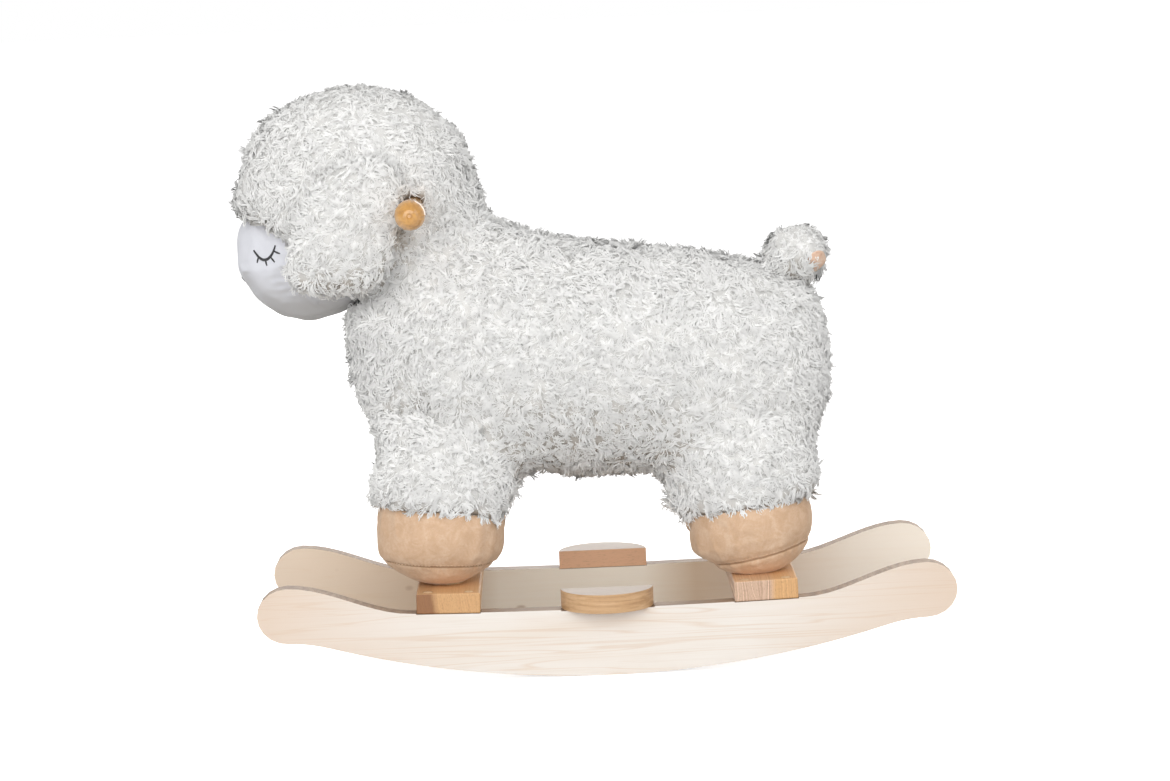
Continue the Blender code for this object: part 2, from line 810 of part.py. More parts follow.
def foot_profile(radius):
    """Half of a stuffed ball, pinched where the sole is sewn on, with a flattened sole."""
    seam_drop = radius - SOLE_SEAM_HEIGHT
    seam_radius = math.sqrt(radius**2 - seam_drop**2)
    profile = [(0.0, radius * FOOT_CROWN)]
    for degrees in FOOT_ANGLES:
        angle = math.radians(degrees)
        point = (radius * math.sin(angle), radius * math.cos(angle))
        if point[1] > -seam_drop + SEAM_PINCH:
            profile.append(point)
    profile.append((seam_radius - SEAM_PINCH, -seam_drop))
    for width, drop in SOLE_RINGS:
        profile.append((seam_radius * width, -radius * drop))
    profile.append((0.0, -radius))
    return profile


def ear_mesh(name):
    """A floppy flap below its top seam, which is at the origin, with its flat inner side at Y = 0."""
    rings = []
    for drop, width, thickness in EAR_RINGS:
        depth = thickness * EAR_THICKNESS / 2
        lean = drop * EAR_LENGTH * math.tan(EAR_SLANT)
        centre = Vector((-lean, depth, -drop * EAR_LENGTH))
        rings.append((centre, Vector((width * EAR_WIDTH / 2, 0.0, 0.0)), Vector((0.0, depth, 0.0))))
    return loft_mesh(name, rings)


def tail_profile():
    """A round root in the body's seat, a short neck, and a stuffed tuft with a full end."""
    neck = TAIL_ROOT_RADIUS * TAIL_NECK_SHARE
    tuft_middle = TAIL_LENGTH - TAIL_RADIUS
    profile = []
    for degrees in TUFT_ANGLES:
        angle = math.radians(degrees)
        height = tuft_middle + TAIL_RADIUS * math.cos(angle)
        profile.append((TAIL_RADIUS * math.sin(angle), height))
    neck_height = math.sqrt(TAIL_ROOT_RADIUS**2 - neck**2)
    profile.append((neck, neck_height))
    for degrees in ROOT_ANGLES:
        angle = math.radians(degrees)
        profile.append((TAIL_ROOT_RADIUS * math.sin(angle), TAIL_ROOT_RADIUS * math.cos(angle)))
    profile[0] = (0.0, profile[0][1])
    profile[-1] = (0.0, profile[-1][1])
    return profile


def add_soft_parts(post_seats, board_space, post_spaces, neck_space, rod_space):
    body = add_piece("body", body_mesh("body"), FLEECE)
    subdivide(body, 1)
    body_space = add_cutter("body_space", body_mesh("body_space"))
    subdivide(body_space, 1)
    swell(body_space, FIT_GAP)
    cut(body, board_space, neck_space, *post_spaces.values())

    for end, end_sign in ENDS.items():
        radius, advance, foot_tilt, hem_lift, hem_tilt = leg_sizes(end)
        for side, sign in SIDES.items():
            foot_height = deck_height() - FOOT_SINK + radius
            spot = at(end_sign * CROSSBAR_REACH - advance, sign * leg_middle(), foot_height)
            inward = spot @ Matrix.Scale(-sign, 4, (0.0, 1.0, 0.0))
            mesh = leg_mesh(f"leg_{end}_{side}", hem_lift, hem_tilt)
            leg_space = add_leg(mesh, inward, body_space, post_spaces[end, side])
            name = f"foot_{end}_{side}"
            turned = spot @ Matrix.Rotation(-foot_tilt, 4, "Y")
            foot = add_piece(name, turned_mesh(name, foot_profile(radius)), SUEDE, turned)
            turn(foot, ROUND_SIDES)
            cut(foot, leg_space, post_seats[end, side][0], post_spaces[end, side])

    head_size = (HEAD_HALF_LENGTH, HEAD_HALF_WIDTH, HEAD_RISE, HEAD_DROP)
    head_place = Matrix.Translation(head_centre())
    head = add_piece("head", egg_mesh("head", *head_size), FLEECE, head_place)
    cut(head, hood_opening("hood_opening", HOOD_OPENING_RADIUS), body_space, neck_space, rod_space)
    head_space = add_cutter("head_space", egg_mesh("head_space", *head_size, FIT_GAP), head_place)
    cut(head_space, hood_opening("face_room", HOOD_OPENING_RADIUS - FIT_GAP))

    face_place = head_place @ at(-FACE_FORWARD, 0.0, -FACE_DROP)
    face_mesh = egg_mesh("face", FACE_HALF_LENGTH, FACE_HALF_WIDTH, FACE_HALF_HEIGHT, FACE_HALF_HEIGHT)
    face = add_piece("face", face_mesh, FACE_FABRIC, face_place)
    cut(face, head_space, body_space)

    for side, sign in SIDES.items():
        add_ear(side, sign, head_space)
    add_tail(body)


def hood_opening(name, radius):
    """The round cut across the head's lower front, under which the face shows."""
    drum = rod_mesh(name, radius, 4 * HEAD_HALF_WIDTH, HOOD_SIDES)
    middle = head_centre() - Vector((HOOD_OPENING_FORWARD, 0.0, HOOD_OPENING_DROP))
    return add_cutter(name, drum, Matrix.Translation(middle) @ Matrix.Rotation(math.pi / 2, 4, "X"))


def leg_sizes(end):
    """The foot's radius, advance before its crossbar's middle and tilt, and the hem's lift and tilt."""
    if end == "front":
        return FRONT_FOOT_RADIUS, FRONT_FOOT_ADVANCE, FRONT_FOOT_TILT, FRONT_HEM_LIFT, FRONT_HEM_TILT
    return REAR_FOOT_RADIUS, REAR_FOOT_ADVANCE, REAR_FOOT_TILT, REAR_HEM_LIFT, REAR_HEM_TILT


def add_leg(mesh, place, body_space, post_space):
    """Adds the fleece sleeve, and returns the slightly larger copy that shapes the foot under it."""
    mesh.transform(place)
    if place.determinant() < 0:
        mesh.flip_normals()
    leg = add_piece(mesh.name, mesh, FLEECE)
    subdivide(leg, 1)
    space = add_cutter(mesh.name + "_space", mesh.copy())
    subdivide(space, 1)
    swell(space, FIT_GAP)
    cut(leg, body_space, post_space)
    return space


def ear_seam(sign):
    """The ear's hinge line: where the head's side is, a little above its widest level."""
    centre = head_centre()
    flatness = math.sqrt(1 - (EAR_LIFT / HEAD_RISE) ** 2 - (EAR_SETBACK / HEAD_HALF_LENGTH) ** 2)
    return centre + Vector((EAR_SETBACK, sign * HEAD_HALF_WIDTH * flatness, EAR_LIFT))


def add_ear(side, sign, head_space):
    mesh = ear_mesh("ear_" + side)
    if sign < 0:
        mesh.transform(Matrix.Scale(-1, 4, (0.0, 1.0, 0.0)))
        mesh.flip_normals()
    ear = add_piece("ear_" + side, mesh, FLEECE, Matrix.Translation(ear_seam(sign)))
    subdivide(ear, 1)
    cut(ear, head_space)


def add_tail(body):
    root = Matrix.Translation(tail_root())
    place = root @ Matrix.Rotation(math.pi / 2 - TAIL_SLANT, 4, "Y")
    tail = add_piece("tail", turned_mesh("tail", tail_profile()), FLEECE, place)
    turn(tail, ROUND_SIDES)
    seat_mesh = egg_mesh("tail_seat", *(4 * [TAIL_ROOT_RADIUS + FIT_GAP]))
    cut(body, add_cutter("tail_seat", seat_mesh, root))


screw_seats = add_base()
spaces = add_frame(screw_seats)
add_soft_parts(screw_seats, *spaces)
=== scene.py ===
"""A plush rocking sheep: fleece, suede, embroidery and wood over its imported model, seen from its left.

Metres, +Z up, in the model's own frame. The head points to -X and the animal's left side is -Y.
"""

import math

import bmesh
import bpy
import numpy as np
from mathutils import Matrix, Vector
from mathutils.bvhtree import BVHTree


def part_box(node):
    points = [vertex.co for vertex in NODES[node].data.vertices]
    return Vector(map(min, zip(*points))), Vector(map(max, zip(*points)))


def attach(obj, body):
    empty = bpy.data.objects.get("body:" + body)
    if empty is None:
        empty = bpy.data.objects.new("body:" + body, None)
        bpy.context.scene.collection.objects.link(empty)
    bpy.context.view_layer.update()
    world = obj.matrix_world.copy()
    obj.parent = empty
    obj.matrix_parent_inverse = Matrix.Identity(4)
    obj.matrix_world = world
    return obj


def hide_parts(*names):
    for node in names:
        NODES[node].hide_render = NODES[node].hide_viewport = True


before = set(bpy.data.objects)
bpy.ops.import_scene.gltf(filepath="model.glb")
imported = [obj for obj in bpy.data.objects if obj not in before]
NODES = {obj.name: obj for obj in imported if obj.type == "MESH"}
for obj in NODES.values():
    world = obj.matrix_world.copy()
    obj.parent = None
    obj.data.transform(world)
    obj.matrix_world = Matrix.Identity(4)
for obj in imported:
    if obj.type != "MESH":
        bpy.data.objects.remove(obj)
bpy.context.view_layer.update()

# The photograph's camera, fitted to the runners and crossbars, with its focal length in pixels
PHOTO_WIDTH = 1170
FOCAL_PIXELS = 3500
SENSOR_WIDTH = 36
CAMERA_PLACE = Vector((-0.0473, -3.5697, 0.7284))
CAMERA_YAW = math.radians(0.557)
CAMERA_PITCH = math.radians(-7.291)
CAMERA_ROLL = math.radians(-2.359)

# Light: each lamp's place, width, height and watts
HORIZON_LEVEL = 0.74
ZENITH_LEVEL = 0.48
FLOOR_SHADE = 0.42
FLOOR_GLOW = 0.75
LAMP_TARGET = (0, 0, 0.3)
LAMPS = {
    "key_softbox": ((-0.6, -3.2, 1.35), 4, 2.6, 81),
    "fill_softbox": ((2.2, -2.4, 1.5), 1.6, 1.6, 12),
    "back_softbox": ((0.4, 3.2, 1.35), 4, 2.6, 60),
}

# Fleece backing
TORSO = ("body", "head", "leg_front_left", "leg_front_right", "leg_rear_left", "leg_rear_right")
TORSO_VOXEL = 0.005
LOOSE_VOXEL = 0.004
LEG_CREASE = 0.065
NECK_CREASE = 0.036
SKIN_RISE = 0.005
CUFF_DROP = 0.006
CUFF_REACH = 0.007
CUFF_CLEAR = 0.0022

# Locks, of curled strands that are shaded mostly by the surface they stand on
LOCK_PITCH = 0.0042
LOCK_LENGTH = 0.011
SHORTEST_LOCK = 0.005
LOCK_SPREAD = 0.0013
RAISED_SHARE = 0.45
STRANDS = 6
STRAND_PLACES = (0, 0.3, 0.6, 0.87, 1)
STRAND_WIDTH = 0.00068
STRAND_DEPTH = 0.0005
SKIN_SHADE = 0.95
SIDE_SHADE = {"torso": 0.62, "ear_left": 1.2, "ear_right": 1.2, "tail": 0.6}
TINTS = 64
MOST_TRIANGLES = 190000

# How near other pieces locks may grow, and how near hems and ears they lie flat
CLOSEST_ROOT = 0.0007
FACING_REACH = 0.006
FRINGE_REACH = 0.014
EAR_REACH = 0.008

# Seams that the pile is combed over: each a place, its reach, the way the locks lie and their stretch
EAR_SEAM = (-0.222, 0.08844, 0.52224)
TAIL_ROOT = (0.18698, 0, 0.3853)
COMBED = {
    "torso": [
        ((EAR_SEAM[0], -EAR_SEAM[1], EAR_SEAM[2]), 0.04, (0, 0, -1), 1.25),
        (EAR_SEAM, 0.04, (0, 0, -1), 1.25),
        (TAIL_ROOT, 0.042, (0.67, 0, 0.74), 1.6),
    ],
    "tail": [(TAIL_ROOT, 0.042, (-0.67, 0, -0.74), 1.9)],
}
# Where the pile is cut shorter or left longer: X, Z, reach and scale
TRIMS = {
    "torso": [
        (-0.055, 0.187, 0.035, 0.8),
        (0.045, 0.182, 0.03, 0.9),
        (-0.16, 0.565, 0.035, 0.62),
        (-0.212, 0.598, 0.03, 0.6),
        (-0.272, 0.588, 0.03, 0.6),
        (-0.352, 0.508, 0.02, 0.6),
        (-0.1, 0.462, 0.026, 1.05),
        (-0.24, 0.222, 0.03, 0.35),
        (0.235, 0.215, 0.03, 0.5),
        (0.068, 0.165, 0.018, 1.6),
        (-0.085, 0.178, 0.018, 1.5),
        (-0.248, 0.33, 0.06, 1.2),
        (-0.178, 0.471, 0.018, 0.35),
        (-0.188, 0.445, 0.012, 0.4),
        (0.175, 0.388, 0.026, 0.6),
    ],
    "tail": [(0.21, 0.437, 0.026, 0.4), (0.243, 0.412, 0.018, 0.8)],
}
# Where the backing itself moves: X, distance from the middle plane (0 for all), Z, reach and shift
BULGES = {
    "torso": [
        (0.083, 0.066, 0.158, 0.024, (-0.008, 0, -0.008)),
        (0.226, 0.066, 0.23, 0.035, (-0.008, 0, 0)),
        (-0.228, 0.066, 0.228, 0.024, (0.01, 0, 0)),
        (-0.237, 0.066, 0.176, 0.018, (-0.003, 0, -0.003)),
        (-0.068, 0, 0.184, 0.024, (0, 0, 0.01)),
        (-0.03, 0, 0.186, 0.026, (0, 0, 0.003)),
        (0.01, 0, 0.184, 0.026, (0, 0, 0.004)),
        (0.05, 0, 0.184, 0.022, (0, 0, 0.005)),
        (-0.108, 0.095, 0.16, 0.024, (0, 0, -0.01)),
        (-0.236, 0, 0.354, 0.02, (-0.008, 0, 0.006)),
        (-0.11, 0, 0.51, 0.032, (-0.005, 0, -0.004)),
    ],
    "tail": [
        (0.208, 0, 0.438, 0.026, (0, 0, -0.006)),
        (0.236, 0, 0.43, 0.016, (-0.006, 0, -0.002)),
        (0.242, 0, 0.4, 0.022, (-0.006, 0, 0)),
    ],
}
# Where shade is painted on the fleece, in the gap below the handle, as X, Z and reach
HANDLE_GAP_SHADE = (-0.188, 0.445, 0.012)

# Feet: the ball's radius and its lean towards the tail, how much fuller it is towards the head and the tail,
# that fullness's slope and reach, and the sole seam's height above the ball's lowest point
FOOT_FORMS = {"front": (0.0635, math.radians(-4)), "rear": (0.0615, math.radians(13))}
FOOT_SWELLS = {"front": (0.007, 0.0065), "rear": (0.0085, 0.0015)}
SWELL_LEVEL = math.radians(-30)
SWELL_REACH = math.radians(16)
SOLE_SEAM_HEIGHT = 0.026
FOOT_AROUND = 128
FOOT_RINGS = 72
STITCH_PITCH = 0.0036
THREAD_RADIUS = 0.00035

# Face: its middle and half width, and the half length and height of its ball under the hood
FACE_CENTRE = Vector((-0.286, 0, 0.4252))
FACE_HALF_WIDTH = 0.064
FACE_BALL = (0.073, 0.071)
FACE_AROUND = 144
FACE_RINGS = 88

# Strokes of thread with their thickness: an eye and its lashes in X and Z, and the nose in Y and Z
EYE_STROKES = [
    ([(-0.3412, 0.434), (-0.3358, 0.4268), (-0.3293, 0.4244), (-0.3227, 0.4292), (-0.3181, 0.4392)], 0.0015),
    ([(-0.3364, 0.4272), (-0.3376, 0.4238), (-0.3381, 0.4212)], 0.00095),
    ([(-0.3293, 0.4247), (-0.3287, 0.4216), (-0.3279, 0.4184)], 0.00095),
    ([(-0.3236, 0.4275), (-0.3215, 0.4246), (-0.3196, 0.4222)], 0.00095),
    ([(-0.3197, 0.4334), (-0.3168, 0.432), (-0.3136, 0.431)], 0.00095),
]
NOSE_STROKES = [
    ([(-0.0075, 0.4042), (-0.0035, 0.4008), (0, 0.399), (0.0035, 0.4008), (0.0075, 0.4042)], 0.0009),
    ([(0, 0.399), (0, 0.3965), (0, 0.394)], 0.0009),
]

# Tail patch: the tuft's middle and radius, the patch's turn, slope, half angles, stand and half thickness
TUFT_MIDDLE = (0.213, 0, 0.4087)
TUFT_RADIUS = 0.029
PATCH_TURN = math.radians(-57)
PATCH_SLOPE = math.radians(-24)
PATCH_HALF_WIDTH = math.radians(24)
PATCH_HALF_HEIGHT = math.radians(23)
PATCH_STAND = 0.0022
PATCH_HALF_THICKNESS = 0.0022
PATCH_MARGIN = 0.92

# Stuffing, as cloth under pressure: how much the cover gives, and the farthest that it moves
CLOTH_FRAMES = 20
CLOTH = {
    "quality": 5,
    "mass": 0.15,
    "tension_stiffness": 12,
    "compression_stiffness": 12,
    "bending_stiffness": 0.4,
    "use_pressure": True,
    "uniform_pressure_force": 4,
}
FOOT_STUFFING = (0.012, 0.0009)
FACE_STUFFING = (0.02, 0.0012)

# What both suedes share
SUEDE = {
    "Roughness": 0.92,
    "Sheen_Weight": 0.35,
    "Sheen_Roughness": 0.45,
    "Sheen_Tint": (255, 236, 214),
    "Specular_IOR_Level": 0.15,
}


# Node trees

def linear(value):
    """Three 8-bit display values as the linear colour that nodes take. Anything else stays as it is."""
    if not isinstance(value, tuple) or len(value) != 3:
        return value
    shares = [part / 255 for part in value]
    return (*(s / 12.92 if s <= 0.04045 else ((s + 0.055) / 1.055) ** 2.4 for s in shares), 1)


class Tree:
    """A node tree, with short calls for the nodes that the materials share."""

    def __init__(self, tree):
        self.tree = tree

    def add(self, kind, inputs=None, **settings):
        made = self.tree.nodes.new(kind)
        for name, value in settings.items():
            setattr(made, name, value)
        for name, value in (inputs or {}).items():
            self.put(made.inputs[name], value)
        return made

    def put(self, socket, value):
        if isinstance(value, bpy.types.NodeSocket):
            self.tree.links.new(value, socket)
        else:
            socket.default_value = value

    def place(self, stretch=(1, 1, 1), shift=(0, 0, 0)):
        """Object coordinates in metres, which here are the model's own, stretched and shifted."""
        coordinates = self.add("ShaderNodeTexCoord").outputs["Object"]
        values = {"Vector": coordinates, "Scale": stretch, "Location": shift}
        return self.add("ShaderNodeMapping", values).outputs["Vector"]

    def noise(self, scale, detail=2, roughness=0.5, distortion=0, vector=None):
        """Noise by one scale or by one for each axis, or over another vector."""
        if vector is None:
            vector = self.place(scale if isinstance(scale, tuple) else (scale, scale, scale))
            scale = 1
        values = {"Vector": vector, "Scale": scale, "Detail": detail, "Roughness": roughness}
        return self.add("ShaderNodeTexNoise", {**values, "Distortion": distortion}).outputs["Fac"]

    def ramp(self, factor, *stops):
        """A colour ramp through stops, each a place and three 8-bit display values."""
        made = self.add("ShaderNodeValToRGB", {"Fac": factor})
        elements = made.color_ramp.elements
        while len(elements) < len(stops):
            elements.new(0.5)
        for element, (place, *colour) in zip(elements, stops):
            element.position = place
            element.color = linear(tuple(colour))
        return made.outputs["Color"]

    def blend(self, factor, low, high):
        made = self.add("ShaderNodeMix", data_type="RGBA", blend_type="MIX")
        self.put(made.inputs["Factor"], factor)
        self.put(made.inputs[6], linear(low))
        self.put(made.inputs[7], linear(high))
        return made.outputs[2]

    def math(self, operation, *values):
        made = self.add("ShaderNodeMath", operation=operation)
        for socket, value in zip(made.inputs, values):
            self.put(socket, value)
        return made.outputs["Value"]

    def times(self, first, second):
        return self.math("MULTIPLY", first, second)

    def plus(self, first, second):
        return self.math("ADD", first, second)

    def less(self, first, second):
        return self.math("SUBTRACT", first, second)

    def size(self, value):
        return self.math("ABSOLUTE", value)

    def span(self, value, low, high, to_low=0, to_high=1):
        """The value's way from low to high, kept between its two ends."""
        values = {"Value": value, "From Min": low, "From Max": high, "To Min": to_low, "To Max": to_high}
        return self.add("ShaderNodeMapRange", values).outputs["Result"]

    def stain(self, colour, value, span, other):
        """The colour, turned to the other one by the value's way over a span."""
        return self.blend(self.span(value, *span), colour, other)

    def parts(self, vector):
        return self.add("ShaderNodeSeparateXYZ", {"Vector": vector}).outputs

    def facing(self):
        """The surface's direction in the model's axes."""
        return self.parts(self.add("ShaderNodeTexCoord").outputs["Normal"])

    def bump(self, height, strength, distance):
        values = {"Height": height, "Strength": strength, "Distance": distance}
        return self.add("ShaderNodeBump", values).outputs["Normal"]


class Finish(Tree):
    """A Principled material that starts with these plain values."""

    def __init__(self, name, **constants):
        self.material = bpy.data.materials.new(name)
        self.material.use_nodes = True
        super().__init__(self.material.node_tree)
        self.shader = self.tree.nodes["Principled BSDF"]
        for key, value in constants.items():
            self.shader.inputs[key.replace("_", " ")].default_value = linear(value)

    def wear(self, colour, roughness=None, normal=None):
        """Puts these on the shader, and returns the material."""
        for key, value in (("Base Color", colour), ("Roughness", roughness), ("Normal", normal)):
            if value is not None:
                self.put(self.shader.inputs[key], value)
        return self.material


# Camera, light and stage

def add_object(name, data):
    made = bpy.data.objects.new(name, data)
    bpy.context.scene.collection.objects.link(made)
    return made


def add_camera():
    data = bpy.data.cameras.new("photo_camera")
    data.sensor_width = SENSOR_WIDTH
    data.lens = FOCAL_PIXELS / PHOTO_WIDTH * SENSOR_WIDTH
    camera = add_object("photo_camera", data)
    camera.matrix_world = Matrix.Translation(CAMERA_PLACE)
    for angle, axis in ((-CAMERA_YAW, "Z"), (math.pi / 2 + CAMERA_PITCH, "X"), (CAMERA_ROLL, "Z")):
        camera.matrix_world = camera.matrix_world @ Matrix.Rotation(angle, 4, axis)
    bpy.context.scene.camera = camera


def seen_directly(tree):
    """1 for rays from the camera and for mirrored and refracted ones, 0 for those that light things."""
    path = tree.add("ShaderNodeLightPath").outputs
    either = tree.math("MAXIMUM", path["Is Camera Ray"], path["Is Glossy Ray"])
    return tree.math("MAXIMUM", either, path["Is Transmission Ray"])


def add_sky():
    """White behind the object, and an even grey light from all round, stronger from the sides than above."""
    world = bpy.data.worlds.new("studio")
    world.use_nodes = True
    bpy.context.scene.world = world
    tree = Tree(world.node_tree)
    background = world.node_tree.nodes["Background"]
    background.inputs["Color"].default_value = (1, 1, 1, 1)
    height = tree.parts(tree.add("ShaderNodeTexCoord").outputs["Generated"])["Z"]
    level = tree.span(height, 0, 1, HORIZON_LEVEL, ZENITH_LEVEL)
    tree.put(background.inputs["Strength"], tree.math("MAXIMUM", seen_directly(tree), level))


def add_floor():
    """A wide pale floor, which looks white outside the object's soft shadow."""
    bm = bmesh.new()
    bmesh.ops.create_grid(bm, x_segments=8, y_segments=8, size=30)
    mesh = bpy.data.meshes.new("floor")
    bm.to_mesh(mesh)
    bm.free()
    floor = add_object("floor", mesh)
    tree = Finish("floor_paper", Roughness=0.9, Emission_Color=(1, 1, 1, 1))
    seen = seen_directly(tree)
    shade = (FLOOR_SHADE, FLOOR_SHADE, FLOOR_SHADE, 1)
    tree.put(tree.shader.inputs["Emission Strength"], tree.times(seen, FLOOR_GLOW))
    mesh.materials.append(tree.wear(tree.blend(seen, shade, (236, 235, 233))))


def add_stage():
    bpy.context.scene.view_settings.view_transform = "Standard"
    add_camera()
    add_sky()
    add_floor()
    for name, (place, width, height, watts) in LAMPS.items():
        data = bpy.data.lights.new(name, "AREA")
        data.shape = "RECTANGLE"
        data.size = width
        data.size_y = height
        data.energy = watts
        lamp = add_object(name, data)
        lamp.location = place
        lamp.rotation_euler = (Vector(LAMP_TARGET) - Vector(place)).to_track_quat("-Z", "Y").to_euler()


# Wood and steel

def pale_wood():
    """Pale veneer with fine fibres along the runner, a few small knots and darker cut edges, with painted
    light and shade on the runners' inner faces.
    """
    tree = Finish("runner_veneer", Roughness=0.55)
    figure = tree.noise((2.2, 1, 26), 3, 0.55, 0.6)
    fibre = tree.noise((14, 60, 900), 2, 0.6)
    cloud = tree.noise((5, 5, 9), 1)
    face = tree.ramp(figure, (0.3, 231, 220, 208), (0.52, 237, 231, 224), (0.75, 241, 237, 231))
    face = tree.stain(face, cloud, (0.42, 0.7, 0, 0.3), (230, 217, 203))
    face = tree.stain(face, fibre, (0.5, 0.8, 0, 0.22), (214, 195, 175))
    vein = tree.noise(1, 2, 0.6, 1.2, tree.place((1.6, 1, 60), (0.3, 0, 0.1)))
    face = tree.stain(face, tree.size(tree.less(vein, 0.5)), (0, 0.022, 0.4, 0), (214, 186, 158))
    place = tree.parts(tree.place())
    flat = tree.facing()["Y"]
    inward = tree.times(flat, tree.math("SIGN", place["Y"]))
    ends = tree.times(tree.span(tree.size(place["X"]), 0.14, 0.34, 0, 0.7), tree.span(inward, 0.1, 0.8))
    face = tree.blend(ends, face, (218, 192, 168))
    # Painted light and shade on the runners' inner faces: paler where the body shades them, painted shadow
    # beside the feet
    inner_painted_light_and_shade = tree.ramp(
        tree.span(place["X"], -0.35, 0.35),
        (0, 228, 206, 182), (0.21, 226, 202, 174), (0.27, 204, 174, 140), (0.34, 255, 245, 228),
        (0.56, 255, 245, 228), (0.64, 222, 196, 166), (0.73, 238, 218, 196), (0.88, 252, 240, 224),
    )
    face = tree.stain(face, inward, (-0.9, -0.4, 0.85, 0), inner_painted_light_and_shade)
    spots = tree.place((11, 6, 17), (3.1, 0.7, 1.3))
    knot = tree.add("ShaderNodeTexVoronoi", {"Vector": spots, "Scale": 1}).outputs["Distance"]
    face = tree.stain(face, knot, (0.03, 0.075, 0.55, 0), (168, 130, 98))
    edge = tree.blend(tree.span(fibre, 0.35, 0.7), (168, 142, 116), (134, 110, 88))
    colour = tree.blend(tree.span(tree.size(flat), 0.45, 0.93), edge, face)
    return tree.wear(colour, tree.span(figure, 0.3, 0.7, 0.48, 0.62), tree.bump(fibre, 0.12, 0.0004))


def bar_wood(name, heart_edge, heart, sap):
    """A solid bar cut along Y: growth rings on its ends, long lines on its faces, heartwood towards -X, and
    painted light on its top.
    """
    tree = Finish(name, Roughness=0.5)
    place = tree.parts(tree.place((1, 0.05, 0.35)))
    warp = tree.noise((50, 2, 24), 2)
    across = tree.plus(place["X"], tree.times(place["Z"], 0.3))
    warped = tree.plus(across, tree.times(warp, 0.012))
    lines = tree.add("ShaderNodeCombineXYZ", {"X": warped}).outputs["Vector"]
    ring_share = tree.span(tree.noise(520, 2, 0.6, vector=lines), 0.35, 0.68, 0, 0.8)
    pores = tree.noise((900, 30, 420), 2, 0.7)
    pale = tree.blend(ring_share, sap, (193, 144, 96))
    dark = tree.blend(ring_share, heart, (134, 92, 60))
    colour = tree.stain(pale, tree.less(heart_edge, warped), (-0.003, 0.004), dark)
    colour = tree.stain(colour, pores, (0.52, 0.78, 0, 0.45), (112, 78, 54))
    # Painted light: the top faces paler and more honey than the sides, against the shade they get
    colour = tree.stain(colour, tree.facing()["Z"], (0.5, 0.9, 0, 0.5), (238, 194, 142))
    return tree.wear(colour, tree.span(pores, 0.3, 0.7, 0.42, 0.62), tree.bump(pores, 0.2, 0.0004))


def footrest_wood():
    """Edge-glued board: greyish pink on top, tan round its edge, and reddish on the sawn flat side, with
    painted light there against the body's shade.
    """
    tree = Finish("footrest_board", Roughness=0.55)
    lines = tree.noise((9, 60, 420), 3, 0.6, 0.4)
    pores = tree.noise((150, 900, 900), 2, 0.7)
    facing = tree.facing()
    top = tree.ramp(lines, (0.3, 202, 186, 172), (0.7, 219, 204, 190))
    side = tree.ramp(lines, (0.28, 176, 135, 93), (0.52, 200, 161, 119), (0.78, 216, 181, 142))
    # Painted light: the sawn flat side keeps its reddish hue but is painted paler than its own brown, as the
    # body shades it
    sawn = tree.times(facing["Y"], tree.math("SIGN", tree.parts(tree.place())["Y"]))
    side = tree.stain(side, sawn, (-0.9, -0.6, 0.85, 0), (238, 188, 152))
    colour = tree.blend(tree.span(facing["Z"], 0.45, 0.9), side, top)
    colour = tree.stain(colour, pores, (0.55, 0.8, 0, 0.35), (138, 104, 78))
    return tree.wear(colour, tree.span(lines, 0.3, 0.7, 0.46, 0.62), tree.bump(lines, 0.15, 0.0004))


def grained(name, noise, *stops, polish=None, **constants):
    """A material with one figure: a stretched noise through these stops, and its polish where given."""
    tree = Finish(name, **constants)
    lines = tree.noise(*noise)
    return tree.wear(tree.ramp(lines, *stops), polish and tree.span(lines, 0.3, 0.7, *polish))


def dress_nodes():
    """Gives every wooden and steel node that stays its finish."""
    inner = grained(
        "frame_timber", ((180, 180, 48), 3, 0.6), (0.3, 188, 158, 120), (0.7, 219, 192, 152),
        Roughness=0.65,
    )
    plug = grained(
        "plug_wood", ((500, 160, 160),), (0.3, 222, 188, 146), (0.7, 240, 215, 180), Roughness=0.5
    )
    honey = grained(
        "honey_lacquer", ((140, 22, 140), 2, 0.5, 0.8),
        (0.3, 176, 122, 44), (0.55, 203, 146, 60), (0.78, 215, 162, 80),
        Roughness=0.3, Coat_Weight=1, Coat_Roughness=0.1,
    )
    steel = grained(
        "screw_steel", ((300, 300, 900),), (0.3, 168, 160, 140), (0.7, 206, 198, 176),
        polish=(0.28, 0.42), Metallic=1, Roughness=0.35,
    )
    finishes = {
        "runner_": pale_wood(),
        "footrest_": footrest_wood(),
        "front_crossbar": bar_wood("front_bar_wood", -0.156, (146, 100, 62), (214, 170, 120)),
        "rear_crossbar": bar_wood("rear_bar_wood", 0.182, (234, 202, 176), (222, 176, 122)),
        "screw_plug_": plug,
        "handle_": honey,
    }
    finishes.update(dict.fromkeys(("footrest_dowel_", "leg_post_", "neck_post", "seat_board"), inner))
    screws = ("crossbar_screw_", "lower_post_screw_", "upper_post_screw_", "neck_post_screw_")
    finishes.update(dict.fromkeys(screws, steel))
    for name, node in NODES.items():
        matches = [start for start in finishes if name.startswith(start)]
        if matches:
            for slot in node.material_slots:
                slot.material = finishes[max(matches, key=len)]


# Shared by the soft forms

def unit(vectors):
    return vectors / np.maximum(np.linalg.norm(vectors, axis=1, keepdims=True), 1e-12)


def bell(offset, reach):
    """1 at no offset, and less and less beyond the reach."""
    return np.exp(-((offset / reach) ** 2))


def ease(value, start, width):
    """0 up to the start, then rising to 1 over the width."""
    return np.clip((value - start) / width, 0, 1)


def swirl(points, seed, wavelength):
    """A smooth value that wanders over space, about -1 to 1, the same on every run."""
    rng = np.random.default_rng(seed)
    total = np.zeros(len(points))
    for _ in range(7):
        direction = rng.normal(size=3)
        direction /= np.linalg.norm(direction)
        length = wavelength * rng.uniform(0.7, 1.6)
        total += np.sin(points @ direction * (2 * math.pi / length) + rng.uniform(0, 2 * math.pi))
    return total / 2.6


